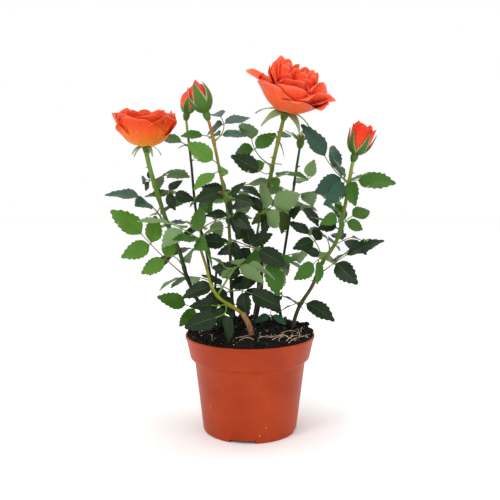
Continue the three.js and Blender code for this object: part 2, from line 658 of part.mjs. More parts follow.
let taken = addPiece('pot', potSolid(), COLOURS.terracotta, 0.45);
let soil = soilSolid();
for (const [name, cane] of Object.entries(CANES)) {
  soil = soil.subtract(caneSolid(cane, GAP));
  const whole = caneSolid(cane, 0);
  const solid = cane.carrier ? whole.subtract(caneSolid(CANES[cane.carrier], GAP)) : whole;
  taken = taken.add(addPiece(name, solid, COLOURS[cane.colour], 0.6));
}
taken = taken.add(addPiece('potting_soil', soil, COLOURS.soil, 0.95));
for (const [name, bloom] of Object.entries(BLOOMS)) {
  taken = taken.add(addPiece(name, bloomSolid(bloom), COLOURS[bloom.colour], 0.5));
}
let count = 0;
for (const [name, shoots] of Object.entries(SHOOTS)) {
  shoots.forEach((shoot, i) => {
    const solid = shootSolid(shoot, CANES[name], taken, 1 + count * 30);
    const label = `leaves_${name.replace('cane_', '')}_${i + 1}`;
    taken = taken.add(addPiece(label, solid, COLOURS.leaves[count % COLOURS.leaves.length], 0.5));
    count += 1;
  });
}

export default plant;
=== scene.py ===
import bpy
import bmesh
import numpy as np
from mathutils import Matrix, Vector


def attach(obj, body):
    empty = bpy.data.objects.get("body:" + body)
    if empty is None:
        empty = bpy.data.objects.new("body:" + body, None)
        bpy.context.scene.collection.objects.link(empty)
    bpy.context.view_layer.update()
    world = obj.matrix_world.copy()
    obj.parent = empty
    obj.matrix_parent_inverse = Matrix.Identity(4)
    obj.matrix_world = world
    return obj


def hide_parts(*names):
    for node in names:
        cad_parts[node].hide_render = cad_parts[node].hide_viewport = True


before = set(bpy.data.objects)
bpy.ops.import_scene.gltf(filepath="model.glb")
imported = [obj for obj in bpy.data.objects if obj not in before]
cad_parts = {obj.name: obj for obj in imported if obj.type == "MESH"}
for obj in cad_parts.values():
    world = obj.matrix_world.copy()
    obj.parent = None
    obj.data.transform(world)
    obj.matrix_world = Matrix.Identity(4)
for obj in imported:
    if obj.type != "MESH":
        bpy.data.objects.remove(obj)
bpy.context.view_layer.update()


# Nursery pot
# A round pot of thin polypropylene with a wide rim band, notches in its foot and drain holes in its raised
# underside. It is injection-moulded in one piece, so its corners are softly rounded and its walls smooth.

MM = 0.001
# Radius and height of each corner of the pot's section and the length of its rounding, in mm: out along the
# underside, up the outside, over the lip and down the inside
POT_CORNERS = [
    (0, 0, 0), (26, 0, 0.4), (28, 3, 0.5), (38.5, 3, 0.5), (40.5, 0, 0.3), (43, 0, 0.5), (43.8, 1.2, 0.5),
    (51.5, 67, 2.4), (55.3, 69, 1.2), (59.1, 87, 0.6), (60, 87.8, 0.4), (60, 90, 0.6), (58.4, 90, 0.6),
    (53.87, 71, 1), (49.87, 68.5, 1), (41.6, 6.6, 1), (39.2, 4.6, 0.8), (26, 4.6, 0.5), (24, 1.6, 0.5),
    (0, 1.6, 0),
]
# Four notches in the foot, a quarter turn apart, and four drain holes in line with them: angles in degrees,
# the rest in mm. A notch's ends slope over twice its edge, and it cuts the foot outside its inner radius.
NOTCH = {"turn": -9, "half_angle": 15.4, "edge": 0.1, "height": 3, "inner": 38}
DRAIN = {"circle": 33, "radius": 4.5, "height": 4, "depth": 12, "sides": 32}
# Faces of the pot that meet at a larger angle than this, in degrees, meet in a crisp edge
POT_EDGE_ANGLE = 42


def linear(hex_colour):
    """sRGB hex to linear RGBA: each channel c becomes ((c + 0.055) / 1.055)^2.4, or c / 12.92 when dark."""
    c = np.array([int(hex_colour[i : i + 2], 16) for i in (1, 3, 5)]) / 255
    c = np.where(c > 0.04045, ((c + 0.055) / 1.055) ** 2.4, c / 12.92)
    return (*c.tolist(), 1.0)


def output(source):
    """A node stands for its first output."""
    return source.outputs[0] if isinstance(source, bpy.types.Node) else source


def add(tree, kind, settings=None, inputs=None):
    """Adds a shader node. Settings are its own properties, or stops for a colour ramp; inputs give a socket
    a value, or a node or one of its outputs to link to it."""
    made = tree.nodes.new("ShaderNode" + kind)
    for name, value in (settings or {}).items():
        if name != "stops":
            setattr(made, name, value)
            continue
        ramp = made.color_ramp
        while len(ramp.elements) < len(value):
            ramp.elements.new(0.5)
        for element, (place, colour) in zip(ramp.elements, value):
            element.position = place
            element.color = linear(colour)
    for name, value in (inputs or {}).items():
        if isinstance(output(value), bpy.types.NodeSocket):
            tree.links.new(output(value), made.inputs[name])
        else:
            made.inputs[name].default_value = value
    return made


def finish(name, **surface):
    """A new material: its node tree and its Principled shader with these socket values."""
    material = bpy.data.materials.new(name)
    material.use_nodes = True
    shader = material.node_tree.nodes["Principled BSDF"]
    for socket, value in surface.items():
        shader.inputs[socket.replace("_", " ")].default_value = value
    return material, material.node_tree, shader


def drive(shader, **surface):
    """Links nodes to these sockets of a shader."""
    for socket, source in surface.items():
        shader.id_data.links.new(output(source), shader.inputs[socket.replace("_", " ")])


def placed(name, data):
    """A new object in the scene."""
    made = bpy.data.objects.new(name, data)
    bpy.context.scene.collection.objects.link(made)
    return made


def piece(name, points, faces, materials, slots=None, uv=None, crease=None):
    """A mesh from arrays. Points are in mm; faces is a list of corner arrays; slots gives each face its
    material and uv each point its place in the texture. A closed shell whose signed volume, a sixth of the
    sum of the triple products of its faces' corners, is negative is turned the right way out."""
    flat = [face for block in faces for face in np.asarray(block).tolist()]
    fan = np.array([(f[0], f[i], f[i + 1]) for f in flat for i in range(1, len(f) - 1)])
    a, b, c = points[fan[:, 0]], points[fan[:, 1]], points[fan[:, 2]]
    if np.einsum("ij,ij->i", a, np.cross(b, c)).sum() < 0:
        flat = [face[::-1] for face in flat]
    mesh = bpy.data.meshes.new(name)
    mesh.from_pydata((points * MM).tolist(), [], flat)
    for material in materials:
        mesh.materials.append(material)
    if slots is not None:
        mesh.polygons.foreach_set("material_index", np.asarray(slots, np.int32))
    if uv is not None:
        corner = np.empty(len(mesh.loops), np.int32)
        mesh.loops.foreach_get("vertex_index", corner)
        mesh.uv_layers.new(name="surface").data.foreach_set("uv", uv[corner].ravel())
    mesh.polygons.foreach_set("use_smooth", np.ones(len(flat), bool))
    if crease:
        mesh.set_sharp_from_angle(angle=np.radians(crease))
    made = placed(name, mesh)
    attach(made, "root")
    return made


def rounded(corners, steps=5):
    """A section whose corners are quadratic arcs, each from its rounding's length before the corner to as
    far after it."""
    path = np.array(corners, float)
    before = path[:-2, :2] - path[1:-1, :2]
    after = path[2:, :2] - path[1:-1, :2]
    before /= np.linalg.norm(before, axis=1, keepdims=True)
    after /= np.linalg.norm(after, axis=1, keepdims=True)
    t = np.linspace(0, 1, steps)[None, :, None]
    arcs = path[1:-1, None, :2] + path[1:-1, None, 2:] * (
        (1 - t) ** 2 * before[:, None] + t**2 * after[:, None]
    )
    return arcs.reshape(-1, 2)


def turned(section, angles):
    """A section of radii and heights swept round the z axis: (r sin a, -r cos a, z). The two open ends are
    closed by a flat face each."""
    r, z = section[:, :1], section[:, 1:]
    grid = np.stack([r * np.sin(angles), -r * np.cos(angles), z + 0 * angles], axis=-1)
    rows, columns = grid.shape[:2]
    i, j = np.meshgrid(np.arange(rows - 1), np.arange(columns), indexing="ij")
    k = (j + 1) % columns
    sides = np.stack([i * columns + j, i * columns + k, (i + 1) * columns + k, (i + 1) * columns + j], -1)
    first = np.arange(columns)[None, ::-1]
    last = (rows - 1) * columns + np.arange(columns)[None, :]
    return grid, [sides.reshape(-1, 4), first, last]


quarters = NOTCH["turn"] + 90 * np.arange(4)
notch_ends = np.outer((-1, 1), NOTCH["half_angle"] + NOTCH["edge"] * np.array((-1, 1)))
notch_edges = np.add.outer(quarters, notch_ends).ravel()
pot_angles = np.unique(np.mod(np.concatenate([np.arange(0, 360, 2), notch_edges]), 360))
pot_grid, pot_faces = turned(rounded(POT_CORNERS), np.radians(pot_angles))
from_notch = np.abs(np.mod(pot_angles - NOTCH["turn"] + 45, 90) - 45) < NOTCH["half_angle"]
pot_radii = np.hypot(pot_grid[..., 0], pot_grid[..., 1])
foot = (pot_radii > NOTCH["inner"]) & (pot_grid[..., 2] < NOTCH["height"]) & from_notch[None, :]
pot_grid[..., 2] = np.where(foot, NOTCH["height"], pot_grid[..., 2])

# Moulded polypropylene, terracotta coloured all through: a satin skin with a soft wide highlight and a fine
# grain, slightly cloudy where the melt met, with sparse pale specks of dust and lime
polypropylene, tree, shader = finish("terracotta_polypropylene", Roughness=0.42, IOR=1.49,
                                     Specular_IOR_Level=0.22)
place = add(tree, "TexCoord").outputs["Object"]
clouds = add(tree, "TexNoise", inputs={"Vector": place, "Scale": 28.0, "Detail": 3.0, "Roughness": 0.55})
tone = add(tree, "ValToRGB", {"stops": [(0.32, "#962c04"), (0.7, "#a93b0c")]}, {"Fac": clouds})
dust = add(tree, "TexVoronoi", {"feature": "F1"}, {"Vector": place, "Scale": 170.0, "Randomness": 1.0})
speck = add(tree, "ValToRGB", {"stops": [(0.06, "#ffffff"), (0.1, "#000000")]}, {"Fac": dust})
patches = add(tree, "TexNoise", inputs={"Vector": place, "Scale": 60.0, "Detail": 2.0})
thin = add(tree, "ValToRGB", {"stops": [(0.56, "#000000"), (0.64, "#ffffff")]}, {"Fac": patches})
sparse = add(tree, "Math", {"operation": "MULTIPLY"}, {0: speck, 1: thin})
dusty = add(tree, "Mix", {"data_type": "RGBA"}, {0: sparse, 6: tone, 7: linear("#e6b9a0")})
satin = add(tree, "MapRange", inputs={"Value": clouds, "To Min": 0.36, "To Max": 0.5})
skin = add(tree, "TexNoise", inputs={"Vector": place, "Scale": 900.0, "Detail": 2.0})
grain = add(tree, "Bump", inputs={"Strength": 0.05, "Distance": 0.0004, "Height": skin})
drive(shader, Base_Color=dusty.outputs[2], Roughness=satin, Normal=grain)

pot = piece("pot_shell", pot_grid.reshape(-1, 3), pot_faces, [polypropylene])
bores = bmesh.new()
bore_radius = DRAIN["radius"] * MM
for turn in np.radians(quarters):
    centre = np.array([DRAIN["circle"] * np.sin(turn), -DRAIN["circle"] * np.cos(turn), DRAIN["height"]])
    bmesh.ops.create_cone(bores, cap_ends=True, segments=DRAIN["sides"], radius1=bore_radius,
                          radius2=bore_radius, depth=DRAIN["depth"] * MM,
                          matrix=Matrix.Translation(centre * MM))
bore_mesh = bpy.data.meshes.new("drain_bores")
bores.to_mesh(bore_mesh)
bores.free()
bore_object = placed("drain_bores", bore_mesh)
cut = pot.modifiers.new("drain_holes", "BOOLEAN")
cut.object = bore_object
cut.operation = "DIFFERENCE"
cut.solver = "EXACT"
drained = bpy.data.meshes.new_from_object(pot.evaluated_get(bpy.context.evaluated_depsgraph_get()))
pot.modifiers.clear()
pot.data = drained
drained.set_sharp_from_angle(angle=np.radians(POT_EDGE_ANGLE))
bpy.data.objects.remove(bore_object)
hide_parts("pot")


# Potting soil
# Moist near-black peat compost that fills the pot and is heaped above its lip. It was pressed in by hand,
# so its top is a mound of crumbs, with white perlite grains and a few tan straws and roots on it.

# The mound's crest, its fall toward the wall, its low lumps, its reach and its innermost ring, in mm, and how
# many rings its net has; then the width and height of the crumbs on it, and how far they sink, in mm
SOIL = {"crest": 101, "fall": 9.5, "lumps": 1.3, "reach": 57.4, "innermost": 0.4, "rings": 84}
CRUMBS = [(6.5, 1.1), (2.6, 0.8), (1.2, 0.45)]
CRUMBS_SUNK = 0.3
# Radius and height of the soil's side and underside inside the pot's wall, in mm
SOIL_SIDE = [(57.7, 88.6), (56.9, 86), (53.4, 71.1), (49.5, 68.4), (41.3, 7), (38.9, 5), (26, 4.9), (2, 4.9)]


def noise(x, y, size, seed):
    """Smooth noise from -1 to 1: random heights at the corners of a square net, blended by smooth steps."""
    i, j = np.floor(x / size), np.floor(y / size)
    u, v = x / size - i, y / size - j
    u, v = u * u * (3 - 2 * u), v * v * (3 - 2 * v)

    def corner(a, b):
        h = np.sin(a * 127.1 + b * 311.7 + seed * 74.7) * 43758.5453
        return (h - np.floor(h)) * 2 - 1

    low = corner(i, j) * (1 - u) + corner(i + 1, j) * u
    high = corner(i, j + 1) * (1 - u) + corner(i + 1, j + 1) * u
    return low * (1 - v) + high * v


def soil_height(x, y):
    """The mound: its crest less a power of the distance from the middle, with low lumps."""
    reach = np.hypot(x, y) / SOIL["reach"]
    lumps = np.sin(0.21 * x + 0.5) * np.cos(0.17 * y) + 0.6 * np.sin(0.34 * x - 0.27 * y)
    return SOIL["crest"] - SOIL["fall"] * reach**2.2 + SOIL["lumps"] * lumps


def crumbled(x, y):
    """The mound's height with crumbs of three sizes on it, finer ones lower."""
    rough = sum(height * noise(x, y, width, seed) for seed, (width, height) in enumerate(CRUMBS, 1))
    return soil_height(x, y) + rough - CRUMBS_SUNK


soil_angles = np.radians(np.arange(0, 360, 1.5))
rings = np.linspace(SOIL["innermost"], SOIL["reach"], SOIL["rings"])
soil_grid, soil_faces = turned(np.vstack([np.stack([rings, 0 * rings], 1), SOIL_SIDE]), soil_angles)
mound = soil_grid[: len(rings)]
mound[..., 2] = crumbled(mound[..., 0], mound[..., 1])

# Moist peat: almost black and matt, a little browner on its drier crumbs, with a grain of 2 to 3 mm
peat, tree, shader = finish("moist_peat", Roughness=0.93, Specular_IOR_Level=0.25)
place = add(tree, "TexCoord").outputs["Object"]
crumbs = add(tree, "TexNoise", inputs={"Vector": place, "Scale": 420.0, "Detail": 5.0, "Roughness": 0.7})
tone = add(tree, "ValToRGB", {"stops": [(0.4, "#070504"), (0.62, "#15100b"), (0.76, "#30241a")]},
           {"Fac": crumbs})
pits = add(tree, "Bump", inputs={"Strength": 0.7, "Distance": 0.0008, "Height": crumbs})
drive(shader, Base_Color=tone, Normal=pits)

soil = piece("peat_mound", soil_grid.reshape(-1, 3), soil_faces, [peat])
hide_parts("potting_soil")


# Crumbs, perlite and straws on the soil
# Loose bits on the peat: dark crumbs and bark chips, white grains of puffed volcanic glass, and tan straws
# and dry root ends. They lie where they fell when the pot was filled.

# Loose bits lie within this radius, in mm
BED = 57.0
# A lump is a twenty-faced solid about 1 mm in radius
GOLDEN = (1 + 5**0.5) / 2
LUMP_POINTS = np.array([
    (-1, GOLDEN, 0), (1, GOLDEN, 0), (-1, -GOLDEN, 0), (1, -GOLDEN, 0), (0, -1, GOLDEN), (0, 1, GOLDEN),
    (0, -1, -GOLDEN), (0, 1, -GOLDEN), (GOLDEN, 0, -1), (GOLDEN, 0, 1), (-GOLDEN, 0, -1), (-GOLDEN, 0, 1),
]) / 1.9
LUMP_FACES = np.array([
    (0, 11, 5), (0, 5, 1), (0, 1, 7), (0, 7, 10), (0, 10, 11), (1, 5, 9), (5, 11, 4), (11, 10, 2), (10, 7, 6),
    (7, 1, 8), (3, 9, 4), (3, 4, 2), (3, 2, 6), (3, 6, 8), (3, 8, 9), (4, 9, 5), (2, 4, 11), (6, 2, 10),
    (8, 6, 7), (9, 8, 1),
])


def scattered(count, small, large, seed, inner=0.0):
    """Twenty-faced lumps on the soil. Places are even over the disc, sizes run from small to large with
    most near small, and each lump's corners are pushed in or out at random and squashed a little."""
    random = np.random.default_rng(seed)
    radius = BED * np.sqrt(random.uniform(inner**2, 1, count))
    angle = random.uniform(0, 2 * np.pi, count)
    x, y = radius * np.cos(angle), radius * np.sin(angle)
    size = small + (large - small) * random.uniform(0, 1, count) ** 3
    corners = len(LUMP_POINTS)
    shape = LUMP_POINTS * random.uniform(0.65, 1.2, (count, corners, 1))
    shape = shape * random.uniform(0.6, 1.1, (count, 1, 3))
    centre = np.stack([x, y, crumbled(x, y) + 0.25 * size], -1)
    points = (shape * size[:, None, None] + centre[:, None]).reshape(-1, 3)
    faces = (LUMP_FACES + corners * np.arange(count)[:, None, None]).reshape(-1, 3)
    return points, faces


# Bark chips: the same peat bed's drier, browner bits. Perlite: chalk-white, matt and porous. Each kind has a
# count, smallest and largest size in mm, and a seed; the rim's crumbs keep to the outer tenth of the radius.
bark_chip = finish("dry_bark_chip", Base_Color=linear("#4a3524"), Roughness=0.85)[0]
perlite = finish("white_perlite", Base_Color=linear("#d9d4c8"), Roughness=0.8)[0]
for name, material, args in (
    ("peat_crumbs", peat, (2600, 0.55, 2.3, 11)),
    ("rim_crumbs", peat, (420, 0.8, 3.0, 12, 0.9)),
    ("bark_chips", bark_chip, (420, 0.4, 1.5, 13)),
    ("perlite_grains", perlite, (240, 0.3, 1.0, 14)),
):
    bits, bit_faces = scattered(*args)
    lumps = piece(name, bits, [bit_faces], [material])


def square_to(direction):
    """Two unit arrays square to a direction and to each other: the first is its cross product with
    whichever axis it leans on least, as a whole path."""
    mean = np.abs(direction.mean(axis=-2, keepdims=True))
    axis = np.eye(3)[np.argmin(mean, axis=-1)]
    side = np.cross(direction, axis)
    side /= np.linalg.norm(side, axis=-1, keepdims=True)
    return side, np.cross(direction, side)


def tubes(paths, radii, sides, relief=None):
    """Rings of points carried along paths. Each ring stands square to its path: path + r (cos a side + sin
    a up), with one radius r, one for each step or one for each step of each path; relief multiplies r by
    step and angle. A flat face closes each end."""
    along = np.gradient(paths, axis=-2)
    along /= np.linalg.norm(along, axis=-1, keepdims=True)
    side, up = square_to(along)
    a = np.arange(sides) * 2 * np.pi / sides
    reach = np.broadcast_to(radii, paths.shape[:2])[..., None] * (1 if relief is None else relief)
    rings = paths[..., None, :] + reach[..., None] * (
        np.cos(a)[:, None] * side[..., None, :] + np.sin(a)[:, None] * up[..., None, :]
    )
    count, steps = paths.shape[:2]
    i, j = np.meshgrid(np.arange(steps - 1), np.arange(sides), indexing="ij")
    k = (j + 1) % sides
    walls = np.stack([i * sides + j, i * sides + k, (i + 1) * sides + k, (i + 1) * sides + j], -1)
    start = steps * sides * np.arange(count)
    walls = (walls.reshape(1, -1, 4) + start[:, None, None]).reshape(-1, 4)
    feet = np.arange(sides)[None, ::-1] + start[:, None]
    tips = (steps - 1) * sides + np.arange(sides)[None, :] + start[:, None]
    return rings.reshape(-1, 3), [walls, feet, tips]


# Straws: foot x, y in mm, heading in degrees, length and bend of each, most at the front right as they lie
STRAWS = [
    (6, -44, 12, 26, 0.12), (10, -40, -8, 32, -0.1), (30, -46, 52, 26, 0.06), (36, -42, 44, 30, -0.08),
    (24, -47, 66, 14, 0.15), (44, -32, 100, 18, 0.12), (-14, -47, 25, 17, 0.15), (-10, -50, 5, 12, -0.2),
    (4, -50, 160, 14, 0.12), (46, -24, 75, 18, -0.15), (18, -50, 30, 17, -0.1), (-34, -40, 100, 9, 0.3),
    (-20, 34, 40, 20, 0.12), (16, 40, -30, 22, -0.15), (-44, 10, 80, 16, 0.12), (40, 20, 130, 18, 0.15),
    (26, -30, 20, 20, 0.12), (16, -35, -18, 28, 0.06), (33, -48, 18, 16, -0.06), (6, -47, 36, 11, 0.3),
]
# A straw's radius in mm and the share of it lost toward its end, how high it lies and its middle's arch
STRAW = {"radius": 0.32, "taper": 0.55, "lift": 1.3, "arch": 1.8, "steps": 14}
foot_x, foot_y, course, length, bend = np.array(STRAWS).T[:, :, None]
run = np.linspace(0, 1, STRAW["steps"])
heading = np.radians(course) + bend * (run * 2 - 1) * 2
step = length / (STRAW["steps"] - 1)
straw_x = foot_x + np.cumsum(np.cos(heading) * step, 1)
straw_y = foot_y + np.cumsum(np.sin(heading) * step, 1)
outside = np.maximum(np.hypot(straw_x, straw_y) / BED, 1)
straw_x, straw_y = straw_x / outside, straw_y / outside
straw_z = soil_height(straw_x, straw_y) + STRAW["lift"] + STRAW["arch"] * np.sin(np.pi * run)
straw_paths = np.stack([straw_x, straw_y, straw_z], -1)
# Dry straw and root skin: pale tan and matt, with fibres about 3 mm long
dry_straw, tree, shader = finish("dry_straw", Roughness=0.75)
place = add(tree, "TexCoord").outputs["Object"]
fibre = add(tree, "TexNoise", inputs={"Vector": place, "Scale": 300.0, "Detail": 3.0})
tone = add(tree, "ValToRGB", {"stops": [(0.35, "#8f6e50"), (0.65, "#d2b698")]}, {"Fac": fibre})
drive(shader, Base_Color=tone)
straw_points, straw_faces = tubes(straw_paths, STRAW["radius"] * (1 - STRAW["taper"] * run), 6)
straws = piece("straws_and_roots", straw_points, straw_faces, [dry_straw])


# Canes and stump
# Living rose stems, green and smooth near their tips and darker toward the soil, partly woody bark and
# partly painted shade, a little thicker at each joint where a shoot leaves. They grow from one root stock;
# the short tan stump is an old cut one.

# Route from the foot in the soil through the bends to the tip, radii at foot and tip, in mm, and colours by
# height from the foot up, as fractions
# The near-black tones at the canes' feet are partly woody bark and partly painted shade of the bush's inside
CANES = {
    "cane_left": {
        "route": [(-41, -6), (-45, 0, 112), (-58, 3, 141), (-65, 0, 167), (-77, -4, 198), (-88, -11, 238),
                  (-92, -15, 258)],
        "radius": (1.8, 2.05),
        "tones": [(0.0, "#16150e"), (0.3, "#1c2410"), (0.55, "#34501a"), (0.75, "#537424"), (1.0, "#6a8c30")],
    },
    "cane_bud_left": {
        "route": [(-33, 22), (-35, 23, 118), (-42, 23, 166), (-51, 22, 202), (-55, 20, 248), (-59, 15, 288)],
        "radius": (1.4, 1.1),
        "tones": [(0.0, "#1a1711"), (0.5, "#201f15"), (0.84, "#333f1c"), (1.0, "#86a238")],
    },
    "cane_front": {
        "route": [(-6.1, -34.6, 115.2), (-12, -36.5, 120), (-19, -34.5, 124), (-28, -36, 131),
                  (-34, -40, 143), (-38, -44, 160), (-45, -48, 183)],
        "radius": (1.5, 1.1),
        "tones": [(0.0, "#7a6a1e"), (0.35, "#8c9a2c"), (0.7, "#7c6a2a"), (1.0, "#6f8430")],
    },
    "cane_bud_centre": {
        "route": [(-14, -2), (-17, -8, 132), (-18, -15, 176), (-20, -18, 206), (-27, -20, 243),
                  (-33, -17, 271), (-37, -14, 286)],
        "radius": (1.5, 1.3),
        "tones": [(0.0, "#15180f"), (0.35, "#263618"), (0.62, "#587624"), (0.8, "#7e7c24"), (1.0, "#96601c")],
    },
    "cane_bloom": {
        "route": [(4, -8), (10, 1, 130), (11, 2, 172), (14, -2, 205), (20, -5, 243), (25, -5, 266),
                  (30, -6, 287)],
        "radius": (1.7, 1.75),
        "tones": [(0.0, "#1d1610"), (0.35, "#3f241a"), (0.5, "#42501e"), (0.78, "#5f6c20"), (1.0, "#84822a")],
    },
    "cane_spent": {
        "route": [(31, 24), (27, 26, 122), (31, 28, 150), (38, 30, 196), (43, 28, 236), (47, 26, 263)],
        "radius": (1.4, 1.15),
        "tones": [(0.0, "#161612"), (0.6, "#202c1c"), (1.0, "#3e5a30")],
    },
    "cane_right": {
        "route": [(38, -10), (45, -4, 115), (57, -4, 135), (66, -6, 157), (79, -6, 178), (86, -4, 208),
                  (90, -2, 232), (93.5, 0, 250)],
        "radius": (1.7, 1.6),
        "tones": [(0.0, "#241d10"), (0.3, "#4a4c1c"), (0.6, "#56782a"), (0.82, "#6e6a20"), (1.0, "#88aa3c")],
    },
    "cane_back": {
        "route": [(4, 40), (8, 47, 128), (6, 52, 168), (12, 55, 205)],
        "radius": (1.4, 1.1),
        "tones": [(0.0, "#2a2318"), (0.6, "#3c4a20"), (1.0, "#6f8430")],
    },
    "stump": {
        "route": [(2, -38), (-1, -36, 106), (-6.5, -34.5, 116)],
        "radius": (2.6, 2.2),
        "tones": [(0.0, "#5c3e26"), (0.5, "#86603c"), (1.0, "#9c7248")],
    },
    "stub_dark": {
        "route": [(-31, 2), (-33, 5, 120), (-31, 6, 153)],
        "radius": (1.3, 1.1),
        "tones": [(0.0, "#1d1914"), (0.9, "#2a241b"), (1.0, "#6a4a2a")],
    },
}
# A cane's flat foot lies this far below the soil's surface, in mm
SUNK = 2


def cane_point(cane, t):
    """A Catmull-Rom curve: between two points of the route a cubic, with a slope at each point of half the
    difference of its neighbours; past either end the route is carried on straight."""
    x, y, *z = cane["route"][0]
    first = (x, y, z[0] if z else float(soil_height(x, y)) - SUNK)
    points = np.array([first, *cane["route"][1:]], float)
    points = np.vstack([2 * points[0] - points[1], points, 2 * points[-1] - points[-2]])
    place = np.clip(np.asarray(t, float), 0, 1) * (len(points) - 3)
    i = np.minimum(place.astype(int), len(points) - 4)
    u = (place - i)[:, None]
    a, b, c, d = points[i], points[i + 1], points[i + 2], points[i + 3]
    m, n = (c - a) / 2, (d - b) / 2
    return b + m * u + (3 * (c - b) - 2 * m - n) * u**2 + (2 * (b - c) + m + n) * u**3


def even_path(cane, steps):
    """The cane's curve at even steps of its length."""
    fine = cane_point(cane, np.linspace(0, 1, 800))
    length = np.concatenate([[0], np.cumsum(np.linalg.norm(np.diff(fine, axis=0), axis=1))])
    even = np.linspace(0, length[-1], steps)
    return np.stack([np.interp(even, length, fine[:, k]) for k in range(3)], -1)


def cane_at(cane, height):
    """The point of the cane's curve at a height."""
    t = np.linspace(0, 1, 4000)
    return cane_point(cane, np.array([np.interp(height, cane_point(cane, t)[:, 2], t)]))[0]


